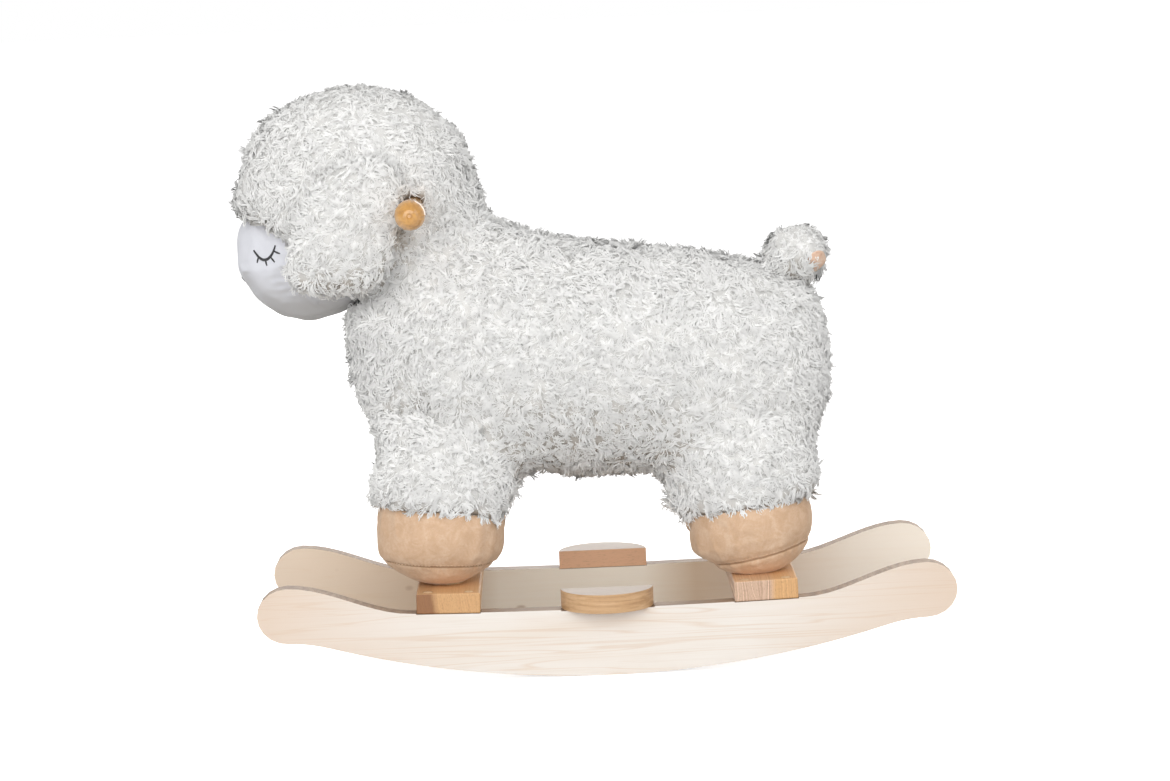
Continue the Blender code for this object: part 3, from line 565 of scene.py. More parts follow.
def from_side(points, x, z):
    """Each point's distance from X and Z as seen from the side."""
    return np.hypot(points[:, 0] - x, points[:, 2] - z)


def downhill(normals):
    """The way down along surfaces with these normals."""
    return unit(np.array([0, 0, -1]) + normals * normals[:, 2:3])


def read(items, name, width, kind=np.float64):
    values = np.empty(len(items) * width, kind)
    items.foreach_get(name, values)
    return values.reshape(-1, width) if width > 1 else values


def places(mesh):
    return read(mesh.vertices, "co", 3)


def set_points(mesh, points):
    mesh.vertices.foreach_set("co", np.asarray(points, np.float32).ravel())
    mesh.update()


def smooth(mesh):
    for polygon in mesh.polygons:
        polygon.use_smooth = True
    return mesh


def mesh_object(name, mesh, material, body):
    made = add_object(name, mesh)
    mesh.materials.append(material)
    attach(made, body)
    return made


def merged(names):
    """These nodes' meshes in one."""
    bm = bmesh.new()
    for name in names:
        bm.from_mesh(NODES[name].data)
    return bm


def node_tree(*names):
    """A search tree over the surfaces of these nodes."""
    bm = merged(names)
    tree = BVHTree.FromBMesh(bm)
    bm.free()
    return tree


def mesh_tree(mesh):
    return BVHTree.FromPolygons([v.co for v in mesh.vertices], [tuple(p.vertices) for p in mesh.polygons])


def distances(points, *names):
    """How far each point is from the surfaces of these nodes."""
    tree = node_tree(*names)
    return np.array([tree.find_nearest(Vector(point))[3] for point in points])


def nearest(points, *names):
    """From each point to the nearest place on these nodes: the distance and the unit direction."""
    tree = node_tree(*names)
    ways = np.array([tree.find_nearest(Vector(point))[0] - Vector(point) for point in points])
    return np.linalg.norm(ways, axis=1), unit(ways)


def outer_distance(node, centre, directions, reach=0.2):
    """How far from the centre the node's outer side lies in each direction."""
    tree = node_tree(node)
    found = np.full(len(directions), reach)
    for index, direction in enumerate(directions):
        heading = Vector(direction)
        hit, _, _, distance = tree.ray_cast(centre + reach * heading, -heading, reach)
        if hit is not None:
            found[index] = reach - distance
    return found


def node_skin(name, nodes, voxel):
    """These nodes' solids as one even, smoothed surface."""
    bm = merged(nodes)
    helper = add_object("skin_helper", bpy.data.meshes.new("skin_helper"))
    bm.to_mesh(helper.data)
    bm.free()
    remesh = helper.modifiers.new("even", "REMESH")
    remesh.mode = "VOXEL"
    remesh.voxel_size = voxel
    relax = helper.modifiers.new("relax", "SMOOTH")
    relax.factor = 0.5
    relax.iterations = 6
    mesh = evaluated_mesh(helper)
    mesh.name = name
    mesh.materials.clear()
    return smooth(mesh)


def evaluated_mesh(helper):
    """The helper's mesh with its modifiers, which takes the helper's place."""
    bpy.context.view_layer.update()
    mesh = bpy.data.meshes.new_from_object(helper.evaluated_get(bpy.context.evaluated_depsgraph_get()))
    bpy.data.objects.remove(helper)
    return mesh


def globe_directions(around, rings):
    """Unit directions of a round grid: its top, its rings from top to bottom, and its bottom."""
    levels = np.linspace(0, math.pi, rings + 1)[1:-1]
    turns = np.arange(around) * 2 * math.pi / around
    level, turn = np.meshgrid(levels, turns, indexing="ij")
    ring_points = [np.sin(level) * np.cos(turn), np.sin(level) * np.sin(turn), np.cos(level)]
    return np.vstack([[0, 0, 1], np.stack(ring_points, axis=2).reshape(-1, 3), [0, 0, -1]])


def globe_mesh(name, points, around, rings):
    """A closed mesh over points in the order of globe_directions."""
    bottom = len(points) - 1
    faces = [(0, 1 + k, 1 + (k + 1) % around) for k in range(around)]
    for ring in range(rings - 2):
        start = 1 + ring * around
        for k in range(around):
            after = (k + 1) % around
            faces.append((start + k, start + around + k, start + around + after, start + after))
    start = 1 + (rings - 2) * around
    faces += [(start + k, bottom, start + (k + 1) % around) for k in range(around)]
    mesh = bpy.data.meshes.new(name)
    mesh.from_pydata([tuple(point) for point in points], [], faces)
    smooth(mesh).update()
    return mesh


def inflate(mesh, held, growth, most):
    """Moves the mesh's points as cloth under pressure does; held is 1 where it is sewn down."""
    before = places(mesh)
    helper = add_object("stuffing_helper", mesh.copy())
    pins = helper.vertex_groups.new(name="pins")
    for index, weight in enumerate(held):
        pins.add([index], float(weight), "REPLACE")
    cloth = helper.modifiers.new("cloth", "CLOTH")
    for setting, value in CLOTH.items():
        setattr(cloth.settings, setting, value)
    cloth.settings.shrink_min = -growth
    cloth.settings.vertex_group_mass = "pins"
    cloth.settings.effector_weights.gravity = 0
    cloth.collision_settings.use_collision = False
    cloth.point_cache.frame_start = 1
    cloth.point_cache.frame_end = CLOTH_FRAMES
    scene = bpy.context.scene
    for number in range(1, CLOTH_FRAMES + 1):
        scene.frame_set(number)
    evaluated = helper.evaluated_get(bpy.context.evaluated_depsgraph_get())
    moved = places(evaluated.data) - before
    scene.frame_set(1)
    bpy.data.objects.remove(helper)
    size = np.linalg.norm(moved, axis=1, keepdims=True)
    set_points(mesh, before + moved * np.minimum(1, most / np.maximum(size, 1e-9)))


def stuffed(mesh, held, growth, most):
    """The mesh filled out, with one level of smooth subdivision."""
    inflate(mesh, held, growth, most)
    helper = add_object("subdivision_helper", mesh)
    helper.modifiers.new("subdivision", "SUBSURF").levels = 1
    return evaluated_mesh(helper)


def tube(bm, points, radii, sides):
    """A closed tube through these points."""
    turns = [2 * math.pi * k / sides for k in range(sides)]
    rings = []
    for index, (point, radius) in enumerate(zip(points, radii)):
        ahead = points[min(index + 1, len(points) - 1)] - points[max(index - 1, 0)]
        across = ahead.orthogonal().normalized()
        up = ahead.normalized().cross(across)
        ways = [math.cos(turn) * across + math.sin(turn) * up for turn in turns]
        rings.append([bm.verts.new(point + radius * way) for way in ways])
    for low_ring, high_ring in zip(rings, rings[1:]):
        shift = min(range(sides), key=lambda k: (high_ring[k].co - low_ring[0].co).length)
        turned = high_ring[shift:] + high_ring[:shift]
        for k in range(sides):
            after = (k + 1) % sides
            bm.faces.new((low_ring[k], low_ring[after], turned[after], turned[k]))
    bm.faces.new(list(reversed(rings[0])))
    bm.faces.new(rings[-1])


def thread_mesh(name, runs, sides):
    """Several thread tubes, each a list of points and of radii, as one mesh."""
    bm = bmesh.new()
    for points, radii in runs:
        tube(bm, points, radii, sides)
    mesh = bpy.data.meshes.new(name)
    bm.to_mesh(mesh)
    bm.free()
    return smooth(mesh)


def thread_material(name, colour, light):
    tree = Finish(name, Roughness=0.6, Sheen_Weight=0.3)
    twist = tree.noise(1600, 2, 0.6)
    return tree.wear(tree.ramp(twist, (0.3, *colour), (0.7, *light)), normal=tree.bump(twist, 0.4, 0.0003))


# Feet

def foot_centre(end, side):
    low_corner, high_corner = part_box(f"foot_{end}_{side}")
    middle = [(low_corner[axis] + high_corner[axis]) / 2 for axis in (0, 1)]
    return Vector((*middle, low_corner[2] + FOOT_FORMS[end][0]))


def suede_material(name, centre, radius, tilt):
    """Sand suede: mottled nap, a dusty sheen, and painted shade in a line along the sole seam's groove."""
    tree = Finish(name, **SUEDE)
    brushed = tree.noise(62, 3, 0.6, 0.8)
    nap = tree.noise(420, 3, 0.65, 0.4)
    grain = tree.noise(1900, 2, 0.6)
    colour = tree.ramp(brushed, (0.3, 205, 170, 138), (0.5, 217, 184, 154), (0.72, 227, 199, 172))
    colour = tree.stain(colour, nap, (0.4, 0.72, 0, 0.45), (204, 163, 126))
    colour = tree.stain(colour, grain, (0.5, 0.8, 0, 0.35), (240, 216, 190))
    # Painted shade: a dark line along the groove of the sole seam
    place = tree.parts(tree.place())
    along = tree.times(tree.less(place["X"], centre.x), -math.sin(tilt))
    above = tree.times(tree.less(place["Z"], centre.z), math.cos(tilt))
    from_seam = tree.size(tree.plus(tree.plus(along, above), radius - SOLE_SEAM_HEIGHT))
    colour = tree.stain(colour, from_seam, (0.0003, 0.0016, 0.75, 0), (132, 96, 66))
    return tree.wear(colour, normal=tree.bump(tree.plus(nap, tree.times(grain, 0.6)), 0.35, 0.0006))


def foot_form(end, node, centre, directions):
    """The foot's radius in each direction: its ball, fuller in front and behind, but not at its hem."""
    radius = FOOT_FORMS[end][0]
    lift = 0.0004 + 0.001 * ease(directions[:, 2], -0.85, 0.15)
    reach = np.minimum(radius, outer_distance(node, centre, directions) + lift)
    ahead, behind = FOOT_SWELLS[end]
    x, slope = directions[:, 0], np.arcsin(directions[:, 2])
    swell = ahead * np.clip(-x, 0, 1) ** 1.5 + behind * np.clip(x, 0, 1) ** 1.5
    swell *= ease(reach, radius - 0.006, 0.004)
    return reach + swell * bell(slope - SWELL_LEVEL, SWELL_REACH)


def add_foot(end, side, material, stitch_material, seed):
    """A stuffed suede ball, pinched by its sole seam, with pulled wrinkles and a row of stitches."""
    node = f"foot_{end}_{side}"
    radius, tilt = FOOT_FORMS[end]
    centre = foot_centre(end, side)
    lean = np.array(Matrix.Rotation(-tilt, 3, "Y"))
    local = globe_directions(FOOT_AROUND, FOOT_RINGS)
    directions = local @ lean.T
    reach = foot_form(end, node, centre, directions)
    points = np.array(centre) + directions * reach[:, None]
    mesh = globe_mesh(node + "_suede", points, FOOT_AROUND, FOOT_RINGS)

    seam_drop = radius - SOLE_SEAM_HEIGHT
    height = local[:, 2] * radius
    fixed = (reach < radius - 0.0003) | (height > 0.6 * radius) | (height < -0.93 * radius)
    fine = stuffed(mesh, np.maximum(fixed, bell(height + seam_drop, 0.0016)), *FOOT_STUFFING)

    points = places(fine)
    offset = (points - np.array(centre)) @ lean
    turn = np.arctan2(offset[:, 1], offset[:, 0])
    level = offset[:, 2] + seam_drop
    rng = np.random.default_rng(seed)
    puckers = ((23, 0.4), (37, 0.35), (61, 0.25))
    pucker = sum(np.sin(count * turn + rng.uniform(0, 6.28)) * size for count, size in puckers)
    gathers = 0.00045 * pucker * (bell(level, 0.0065) * (1 - bell(level, 0.0016)))
    folds = 0.0004 * swirl(points * np.array([1, 1, 0.55]), seed, 0.024)
    folds += 0.0004 * swirl(points * np.array([1, 1, 0.5]), seed + 1, 0.008) * bell(level + 0.004, 0.01)
    fade = ease(-offset[:, 2], -0.55 * radius, 0.01) * ease(offset[:, 2], -0.93 * radius, 0.006)
    moved = (gathers + folds) * fade - 0.0007 * bell(level, 0.0012)
    set_points(fine, points + unit(offset @ lean.T) * moved[:, None])

    piece = mesh_object(node + "_suede", fine, material, "animal")
    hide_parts(node)

    surface = mesh_tree(fine)
    drop = seam_drop - 0.0016
    across = math.sqrt(radius**2 - drop**2)
    count = int(2 * math.pi * math.sqrt(radius**2 - seam_drop**2) / STITCH_PITCH)
    runs = []
    for number in range(count):
        stitch = []
        for share in (0.18, 0.34, 0.5, 0.66, 0.82):
            angle = 2 * math.pi * (number + share) / count
            way = Vector(lean @ np.array([across * math.cos(angle), across * math.sin(angle), -drop]))
            way.normalize()
            hit = surface.ray_cast(centre + 0.2 * way, -way)[0]
            stitch.append(hit + way * ((0.4 - 1.8 * abs(share - 0.5)) * THREAD_RADIUS))
        runs.append((stitch, [THREAD_RADIUS * s for s in (0.7, 1, 1, 1, 0.7)]))
    stitches = node + "_stitches"
    mesh_object(stitches, thread_mesh(stitches, runs, 5), stitch_material, "animal")


def add_feet():
    thread = thread_material("suede_thread", (214, 176, 138), (236, 208, 176))
    for number, end in enumerate(FOOT_FORMS):
        material = suede_material(f"suede_{end}", foot_centre(end, "left"), *FOOT_FORMS[end])
        for side in ("left", "right"):
            add_foot(end, side, material, thread, 300 + 2 * number + (side == "right"))


# Face

def face_profile(turn):
    """The face's radius in the middle plane, by the angle from the tail's side upwards."""
    degrees = np.degrees(turn) % 360
    brow_and_nose = 0.0032 * (bell(degrees - 160, 15) + bell(degrees - 192, 12))
    return 0.0735 + brow_and_nose - 0.0055 * ease(degrees, 215, 65) * (degrees < 330)


def jersey_material():
    """Fine white knit: faint ribs, a soft sheen, and painted warm grey shade below."""
    tree = Finish(
        "face_jersey", Roughness=0.9, Sheen_Weight=0.25, Sheen_Roughness=0.4, Specular_IOR_Level=0.2
    )
    waves = {"Vector": tree.place(), "Scale": 330, "Distortion": 1.2, "Detail": 1}
    ribs = tree.add("ShaderNodeTexWave", waves, bands_direction="X").outputs["Fac"]
    fuzz = tree.noise(1500, 2, 0.6)
    cloud = tree.noise(34, 2)
    colour = tree.ramp(cloud, (0.35, 226, 227, 233), (0.65, 235, 236, 242))
    colour = tree.stain(colour, fuzz, (0.45, 0.8, 0, 0.3), (212, 212, 218))
    # Painted shade: warm grey on faces turned downwards, under the chin
    colour = tree.stain(colour, tree.facing()["Z"], (-0.85, -0.15, 0.75, 0), (188, 184, 178))
    return tree.wear(colour, normal=tree.bump(tree.plus(tree.times(ribs, 0.5), fuzz), 0.18, 0.0004))


def add_face():
    """The smooth jersey face: its profile, faint pulled creases, closed eyes and a small sewn nose."""
    local = globe_directions(FACE_AROUND, FACE_RINGS)
    x, y, z = local.T
    side_share = (y / FACE_HALF_WIDTH) ** 2
    reach = 1 / np.sqrt((np.hypot(x, z) / face_profile(np.arctan2(z, x))) ** 2 + side_share)
    limit = outer_distance("face", FACE_CENTRE, local)
    covered = limit < 1 / np.sqrt((x / FACE_BALL[0]) ** 2 + side_share + (z / FACE_BALL[1]) ** 2) - 0.003
    reach = np.where(covered, np.minimum(limit + 0.0003, reach), reach)
    mesh = globe_mesh("face_jersey", np.array(FACE_CENTRE) + local * reach[:, None], FACE_AROUND, FACE_RINGS)
    fine = stuffed(mesh, np.where(covered, 1, 0), *FACE_STUFFING)

    points = places(fine)
    offset = points - np.array(FACE_CENTRE)
    free = ease(np.linalg.norm(offset, axis=1), 0.055, 0.01)
    waves = 0.0007 * swirl(points * np.array([1, 1, 0.5]), 41, 0.026)
    x, z = points[:, 0], points[:, 2]
    crease = 0.0007 * bell(x + 0.3445 - 0.35 * (z - 0.43), 0.004) * ease(z, 0.415, 0.02)
    pull = 0.0005 * swirl(points * np.array([0.6, 1, 1.6]), 43, 0.011)
    pull *= bell(x + 0.312, 0.014) * bell(z - 0.4, 0.018)
    set_points(fine, points + unit(offset) * ((waves + crease + pull) * free)[:, None])
    piece = mesh_object("face_jersey", fine, jersey_material(), "animal")
    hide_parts("face")

    surface = mesh_tree(fine)
    thread = thread_material("eye_thread", (22, 22, 24), (48, 48, 52))
    for side, sign in (("left", -1), ("right", 1)):
        eye = stroke_mesh(
            EYE_STROKES, surface, lambda x, z: (x, sign * 0.2, z), (0, -sign, 0), 15, 0.25, 0.55
        )
        mesh_object(f"eye_{side}", eye, thread, "animal")
    nose = stroke_mesh(NOSE_STROKES, surface, lambda y, z: (-0.5, y, z), (1, 0, 0), 13, 2 / 9, 0.6)
    mesh_object("nose", nose, thread, "animal")


def smooth_path(points, steps):
    """Points on a smooth curve through the given ones."""
    knots = np.linspace(0, 1, len(points))
    fit = np.polyfit(knots, np.array(points), min(len(points) - 1, 4))
    return np.stack([np.polyval(fit[:, axis], np.linspace(0, 1, steps)) for axis in range(2)], axis=1)


def stroke_mesh(strokes, surface, start, way, steps, lift, ends):
    """Strokes of thread where rays from these starts meet the surface.

    They stand up by the lift and narrow towards their ends, both as shares of their thickness.
    """
    runs = []
    for stroke, thickness in strokes:
        points, radii = [], []
        for share, pair in zip(np.linspace(0, 1, steps), smooth_path(stroke, steps)):
            hit, normal, _, _ = surface.ray_cast(Vector(start(*pair)), Vector(way))
            points.append(hit + normal * lift * thickness)
            radii.append(thickness * (ends + (1 - ends) * math.sin(math.pi * share)))
        runs.append((points, radii))
    return thread_mesh("strokes", runs, 8)


# Fleece

def fleece_material():
    """Strands, each in its own tint: near white in the open, warm grey where low tints paint shade, darkest
    at the root there; at high tints the root is a touch paler than the tip, as painted light against the
    pile's own shade.
    """
    tree = Finish("fleece_strands", Roughness=0.85, Specular_IOR_Level=0.2)
    place = tree.parts(tree.add("ShaderNodeUVMap", uv_map="OFBake").outputs["UV"])
    # Low tints are painted shade; the paler roots of high tints are painted light
    tip = tree.ramp(
        place["X"], (0, 160, 148, 134), (0.3, 216, 209, 200), (0.6, 249, 248, 245), (1, 253, 253, 251)
    )
    root = tree.ramp(
        place["X"], (0, 128, 114, 98), (0.3, 172, 159, 143), (0.6, 252, 251, 249), (1, 254, 254, 253)
    )
    return tree.wear(tree.stain(root, place["Y"], (0.1, 0.9), tip))


def skin_material():
    """The knitted backing between the strands, greyer than them as painted shade of the pile over it, with
    more painted shade below.
    """
    tree = Finish("fleece_backing", Roughness=0.95)
    stitches = tree.noise(900, 2, 0.6)
    # Painted shade: kept greyer than the strands, as the pile would shade it
    colour = tree.ramp(stitches, (0.35, 212, 211, 208), (0.7, 228, 227, 224))
    # Painted shade: darker and warmer on faces turned downwards
    colour = tree.stain(colour, tree.facing()["Z"], (-0.8, -0.1, 0.85, 0), (158, 144, 128))
    return tree.wear(colour, normal=tree.bump(stitches, 0.5, 0.0008))


def lock_roots(mesh, pitch, open_face, rng):
    """Evenly spread points on the mesh's open faces, with their normals: one in each small cube."""
    mesh.calc_loop_triangles()
    corners = read(mesh.loop_triangles, "vertices", 3, np.int32)
    corners = corners[open_face[read(mesh.loop_triangles, "polygon_index", 1, np.int32)]]
    corner_places = places(mesh)[corners]
    normals = read(mesh.vertices, "normal", 3)
    a, b, c = corner_places.transpose(1, 0, 2)
    area = np.linalg.norm(np.cross(b - a, c - a), axis=1) / 2
    count = int(area.sum() / pitch**2 * 6)
    chosen = rng.choice(len(area), size=count, p=area / area.sum())
    shares = rng.dirichlet((1, 1, 1), size=count)
    points = np.einsum("nk,nkj->nj", shares, corner_places[chosen])
    facing = unit(np.einsum("nk,nkj->nj", shares, normals[corners[chosen]]))
    cells = np.floor(points / (pitch * 1.18) + rng.uniform(0, 1, 3)).astype(np.int64)
    _, first = np.unique(cells, axis=0, return_index=True)
    return points[first], facing[first]


def strand_mesh(name, roots, normals, shades, leans, lengths, tints, lies, rng):
    """Locks of curled, blunt, three-sided strands, one lock from each root, with the map that colours them.

    The strands are shaded by the soft directions in shades, as a pile that light passes through looks.
    """
    many = len(roots) * STRANDS
    rings_of = len(STRAND_PLACES) - 1

    def each(values):
        return np.repeat(values, STRANDS, axis=0)

    def by_lock(least, most):
        return each(rng.uniform(least, most, len(roots)))

    n = each(normals)
    soft = each(shades)
    t = each(leans)
    b = unit(np.cross(n, t))
    turn = rng.normal(0, 0.2, many)[:, None]
    t = unit(np.cos(turn) * t + np.sin(turn) * b)
    b = np.cross(n, t)
    start = each(roots) - 0.0015 * n
    for across in (t, b):
        start += rng.normal(0, LOCK_SPREAD, many)[:, None] * across
    length = each(lengths) * rng.uniform(0.72, 1.12, many)
    lie = each(lies)
    raised = each(rng.uniform(0, 1, len(roots)) < RAISED_SHARE)
    first_lean = np.where(raised, by_lock(0.4, 0.9), by_lock(0.85, 1.15)) + rng.normal(0, 0.08, many)
    last_lean = np.where(raised, first_lean + by_lock(0.4, 1.3), by_lock(1.3, 1.65))
    first_lean += (1.1 - first_lean) * lie
    last_lean += (1.6 - last_lean) * lie
    curl = by_lock(0.16, 0.38) * length * (1 - 0.5 * lie)
    phase = by_lock(0, 2 * math.pi) + rng.normal(0, 0.3, many)
    speed = each(rng.uniform(3.2, 6.4, len(roots)) * rng.choice([-1, 1], len(roots)))

    rings = np.empty((many, rings_of, 3, 3))
    shading = np.empty((many, rings_of, 3, 3))
    here = start
    for k, s in enumerate(STRAND_PLACES):
        lean = first_lean + (last_lean - first_lean) * s
        if k:
            step = s - STRAND_PLACES[k - 1]
            middle = lean - (last_lean - first_lean) * step / 2
            ahead = np.cos(middle)[:, None] * n + np.sin(middle)[:, None] * t
            here = here + ahead * (length * step)[:, None]
        wave = phase + speed * s
        side = (curl * s * (np.sin(wave) - np.sin(phase)))[:, None]
        rise = (curl * s * (np.cos(wave) - np.cos(phase)) * 0.6)[:, None]
        centre = here + side * b + rise * n
        if k == rings_of:
            break
        across = np.sin(lean)[:, None] * n - np.cos(lean)[:, None] * t
        slim = 1 - 0.35 * s**2
        for corner in range(3):
            angle = 2 * math.pi * corner / 3 + math.pi / 2
            offset = STRAND_WIDTH * math.cos(angle) * b + STRAND_DEPTH * math.sin(angle) * across
            own = math.cos(angle) * b + math.sin(angle) * across
            rings[:, k, corner] = centre + slim * offset
            shading[:, k, corner] = SKIN_SHADE * soft + (1 - SKIN_SHADE) * own
    vertices = np.concatenate([rings.reshape(many, -1, 3), centre[:, None]], axis=1)
    shading = np.concatenate([shading.reshape(many, -1, 3), soft[:, None]], axis=1)

    faces = []
    for k in range(rings_of - 1):
        for corner in range(3):
            after = (corner + 1) % 3
            faces.append((3 * k + corner, 3 * k + after, 3 * k + 3 + after, 3 * k + 3 + corner))
    last = 3 * (rings_of - 1)
    faces += [(last + corner, last + (corner + 1) % 3, 3 * rings_of) for corner in range(3)]
    flat = [v for face in faces for v in face]
    sizes = [len(face) for face in faces]
    loops = (np.array(flat)[None, :] + np.arange(many)[:, None] * (3 * rings_of + 1)).ravel()
    starts = np.concatenate([[0], np.cumsum(np.tile(sizes, many))[:-1]])

    mesh = bpy.data.meshes.new(name)
    mesh.vertices.add(vertices.shape[0] * vertices.shape[1])
    mesh.vertices.foreach_set("co", vertices.astype(np.float32).ravel())
    mesh.loops.add(len(loops))
    mesh.loops.foreach_set("vertex_index", loops.astype(np.int32))
    mesh.polygons.add(len(starts))
    mesh.polygons.foreach_set("loop_start", starts.astype(np.int32))
    mesh.polygons.foreach_set("use_smooth", np.ones(len(starts), bool))
    mesh.update(calc_edges=True)
    custom = mesh.attributes.new("custom_normal", "FLOAT_VECTOR", "POINT")
    custom.data.foreach_set("vector", unit(shading.reshape(-1, 3)).astype(np.float32).ravel())

    column = np.clip(np.repeat(tints, STRANDS) + rng.normal(0, 0.03, many), 0, 0.999)
    column = np.floor(column * TINTS)
    height = np.array([STRAND_PLACES[min(v // 3, rings_of)] for v in flat])
    inside = np.array([(v % 3) / 2 if v < 3 * rings_of else 0.5 for v in flat])
    across = (column[:, None] + 0.15 + 0.7 * inside[None, :]) / TINTS
    up = np.broadcast_to(0.02 + 0.96 * height[None, :], across.shape)
    layer = mesh.uv_layers.new(name="OFBake")
    layer.uv.foreach_set("vector", np.stack([across, up], axis=2).astype(np.float32).ravel())
    return mesh


def trimmed(name, points):
    """How long the pile is left at each point, as a share of its usual length."""
    share = np.ones(len(points))
    for x, z, reach, scale in TRIMS.get(name, []):
        share *= 1 + (scale - 1) * bell(from_side(points, x, z), reach)
    return share


def plump(name, mesh, blockers):
    """Raises the backing into the pile, by less than half of the room that its neighbours leave."""
    points = places(mesh)
    room = distances(points, *blockers)
    rise = np.minimum(SKIN_RISE * trimmed(name, points), 0.45 * room)
    lumps = 0.0009 * swirl(points, 7, 0.012) * np.clip(room / 0.01, 0, 1)
    set_points(mesh, points + read(mesh.vertices, "normal", 3) * (rise + lumps)[:, None])


def fill_creases(mesh, groups, blockers):
    """Pads the creases where two groups of nodes meet, each pair with its reach, as batting and pile do."""
    points = places(mesh)
    clear = ease(distances(points, *blockers), 0.004, 0.02)
    padding = np.zeros(len(points))
    for first, second, reach in groups:
        away = np.maximum(distances(points, *first), distances(points, *second))
        padding = np.maximum(padding, reach / 4 * np.clip(1 - away / reach, 0, 1) ** 2)
    set_points(mesh, points + read(mesh.vertices, "normal", 3) * (padding * clear)[:, None])
    bm = bmesh.new()
    bm.from_mesh(mesh)
    bm.verts.ensure_lookup_table()
    near = [bm.verts[index] for index in np.flatnonzero((padding > 0.0003) & (clear > 0.3))]
    for _ in range(8):
        bmesh.ops.smooth_vert(bm, verts=near, factor=0.5, use_axis_x=True, use_axis_y=True, use_axis_z=True)
    bm.to_mesh(mesh)
    bm.free()


def bulge(name, mesh):
    """Moves the backing at the places in BULGES, the same on both sides."""
    before = places(mesh)
    points = before.copy()
    for x, across, z, reach, shift in BULGES.get(name, []):
        away = from_side(before, x, z)
        if across:
            away = np.hypot(away, np.abs(before[:, 1]) - across)
        points += bell(away, reach)[:, None] * np.array(shift)
    set_points(mesh, points)


def lengthen_cuffs(mesh):
    """Draws the sleeves' hems down over the feet, and keeps them outside the suede."""
    points = places(mesh)
    for end, (radius, _) in FOOT_FORMS.items():
        for side in ("left", "right"):
            centre = np.array(foot_centre(end, side))
            ways = unit(points - centre)
            gap = np.linalg.norm(points - centre, axis=1) - radius
            near = bell(gap, CUFF_REACH) * np.clip(1.5 * np.hypot(ways[:, 0], ways[:, 1]) - 0.3, 0, 1)
            points += downhill(ways) * (CUFF_DROP * near)[:, None]
            offset = points - centre
            inside = np.linalg.norm(offset, axis=1) < radius + CUFF_CLEAR
            points[inside] = centre + unit(offset[inside]) * (radius + CUFF_CLEAR)
    set_points(mesh, points)


def fleece_tints(points, normals):
    """White above with a wandering tone, and painted shade: greyer and warmer under the belly, chest and
    chin, between the legs and in the gap by the handle.
    """
    tints = 0.82 + 0.04 * swirl(points, 5, 0.03)
    # Painted shade where the pile faces down, and where it faces inwards low down between the legs
    under = np.clip(-normals[:, 2] - 0.15, 0, 1)
    inward = np.clip(-normals[:, 1] * np.sign(points[:, 1]) - 0.1, 0, 1) * (points[:, 2] < 0.24)
    # Painted shade in the gap below the handle
    x, z, reach = HANDLE_GAP_SHADE
    return tints - 0.4 * under - 0.26 * inward - 0.8 * bell(from_side(points, x, z), reach)


def on_patch(points):
    """How far over the tail patch each point lies: below 1 within its outline."""
    offset = points - np.array(TUFT_MIDDLE)
    width = (np.arctan2(offset[:, 1], offset[:, 0]) - PATCH_TURN) / PATCH_HALF_WIDTH
    slope = np.arctan2(offset[:, 2], np.hypot(offset[:, 0], offset[:, 1]))
    return np.hypot(width, (slope - PATCH_SLOPE) / PATCH_HALF_HEIGHT)


def ear_room(name, points):
    """How far each point of the torso is from the ears; other pieces have no ear to lie under."""
    return distances(points, "ear_left", "ear_right") if name == "torso" else np.ones(len(points))


def add_pile(name, mesh, body, blockers, fringed, seed):
    """Locks over the open parts: swirled, hanging a little, flat at hems and ears, combed over seams."""
    rng = np.random.default_rng(seed)
    centres = read(mesh.polygons, "center", 3)
    away, ways = nearest(centres, *blockers)
    ahead = (ways * read(mesh.polygons, "normal", 3)).sum(axis=1) > 0.3
    by_ear = ear_room(name, centres) < away + 0.0001
    free = by_ear | (away > CLOSEST_ROOT) & ~(ahead & (away < FACING_REACH))
    if name == "tail":
        free &= on_patch(centres) > PATCH_MARGIN
    points, normals = lock_roots(mesh, LOCK_PITCH, free, rng)
    down = downhill(normals)
    side = np.cross(normals, down)
    hem = np.zeros(len(points))
    if fringed:
        hem = np.clip(1 - distances(points, *fringed) / FRINGE_REACH, 0, 1)
    angle = (2.2 * swirl(points, 11, 0.04) + rng.normal(0, 1, len(points))) * (1 - 0.75 * hem)
    leans = np.cos(angle)[:, None] * down + np.sin(angle)[:, None] * side
    lengths = LOCK_LENGTH * trimmed(name, points) * rng.uniform(0.75, 1.15, len(points)) * (1 + 0.08 * hem)
    lies = 0.85 * hem
    for place, reach, heading, stretch in COMBED.get(name, []):
        pull = np.clip(1 - np.linalg.norm(points - np.array(place), axis=1) / reach, 0, 1) ** 0.7
        over = np.array(heading) - normals * (normals @ np.array(heading))[:, None]
        leans = leans * (1 - 0.85 * pull)[:, None] + unit(over) * (0.85 * pull)[:, None]
        lengths *= 1 + (stretch - 1) * pull
        lies = np.maximum(lies, 0.6 * pull)
    room = ear_room(name, points)
    lengths = np.minimum(lengths, np.maximum(SHORTEST_LOCK, 1.1 * room))
    lies = np.maximum(lies, np.clip(1 - room / EAR_REACH, 0, 1))
    leans = unit(leans - normals * (leans * normals).sum(axis=1, keepdims=True))
    tints = fleece_tints(points, normals)
    sideways = np.clip(points[:, 1:2] / 0.05, -1, 1) * np.array([0, 1, 0])
    shades = unit(normals + SIDE_SHADE[name] * sideways)

    per_lock = STRANDS * (6 * (len(STRAND_PLACES) - 2) + 3)
    shares = max(1, math.ceil(len(points) * per_lock / MOST_TRIANGLES))
    columns = (points, normals, shades, leans, lengths, tints, lies)
    for number, chosen in enumerate(np.array_split(np.argsort(points[:, 0]), shares), 1):
        piece = f"{name}_pile_{number}" if shares > 1 else f"{name}_pile"
        strands = strand_mesh(piece, *(values[chosen] for values in columns), rng)
        mesh_object(piece, strands, FLEECE_MATERIAL, body)


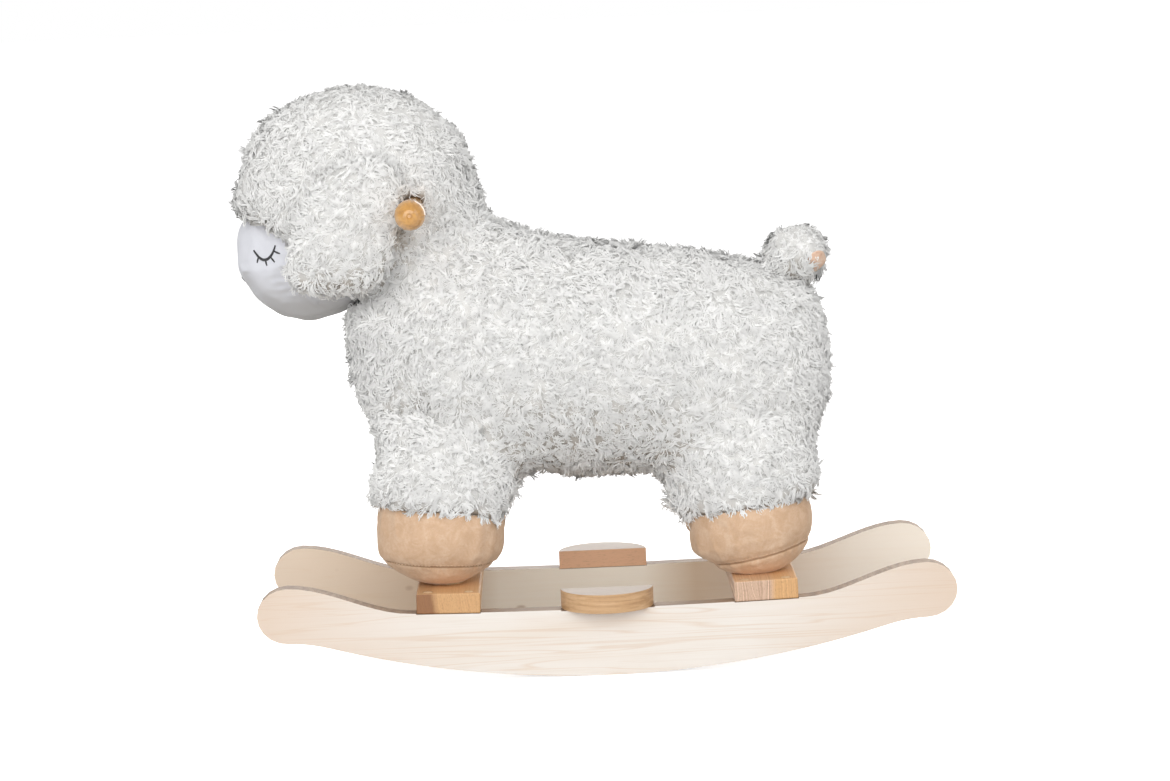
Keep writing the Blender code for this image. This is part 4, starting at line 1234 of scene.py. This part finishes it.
def add_torso():
    """Body, head and legs: one backing with its creases filled, and its pile."""
    skin = node_skin("torso_backing", TORSO, TORSO_VOXEL)
    blockers = [name for name in NODES if name not in TORSO]
    legs = [name for name in TORSO if name.startswith("leg_")]
    fill_creases(skin, [(["body"], legs, LEG_CREASE), (["body"], ["head"], NECK_CREASE)], blockers)
    plump("torso", skin, blockers)
    bulge("torso", skin)
    lengthen_cuffs(skin)
    piece = mesh_object("torso_backing", skin, SKIN_MATERIAL, "animal")
    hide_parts(*TORSO)
    fringed = ["face"] + [name for name in NODES if name.startswith("foot_")]
    add_pile("torso", skin, "animal", blockers, fringed, 101)


def add_loose_fleece(node, seed):
    """An ear or the tail: its own backing and pile, on its own body."""
    skin = node_skin(node + "_backing", [node], LOOSE_VOXEL)
    blockers = [name for name in NODES if name != node]
    plump(node, skin, blockers)
    bulge(node, skin)
    piece = mesh_object(node + "_backing", skin, SKIN_MATERIAL, node)
    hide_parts(node)
    add_pile(node, skin, node, blockers, [], seed)


def patch_material():
    """The tail's suede: pinker than the feet, with a brushed nap."""
    tree = Finish("suede_tail", **SUEDE)
    brushed = tree.noise(150, 3, 0.6, 0.8)
    grain = tree.noise(1500, 2, 0.6)
    colour = tree.ramp(brushed, (0.32, 206, 166, 142), (0.5, 222, 188, 164), (0.7, 230, 204, 184))
    colour = tree.stain(colour, grain, (0.45, 0.8, 0, 0.4), (236, 214, 196))
    return tree.wear(colour, normal=tree.bump(grain, 0.35, 0.0006))


def add_tail_patch():
    """A small padded suede patch, curved round the left rear of the tail's tuft."""
    local = globe_directions(64, 32)
    width = PATCH_TURN + local[:, 1] * PATCH_HALF_WIDTH
    slope = PATCH_SLOPE + local[:, 2] * PATCH_HALF_HEIGHT
    out = TUFT_RADIUS + PATCH_STAND + local[:, 0] * PATCH_HALF_THICKNESS
    ways = np.stack([np.cos(slope) * np.cos(width), np.cos(slope) * np.sin(width), np.sin(slope)], axis=1)
    points = np.array(TUFT_MIDDLE) + ways * out[:, None]
    points += ways * (0.0005 * swirl(points, 61, 0.009))[:, None]
    mesh = globe_mesh("tail_patch", points, 64, 32)
    piece = mesh_object("tail_patch", mesh, patch_material(), "tail")


add_stage()
dress_nodes()
add_feet()
add_face()
FLEECE_MATERIAL = fleece_material()
SKIN_MATERIAL = skin_material()
add_torso()
for count, loose_node in enumerate(("ear_left", "ear_right", "tail")):
    add_loose_fleece(loose_node, 110 + count)
add_tail_patch()
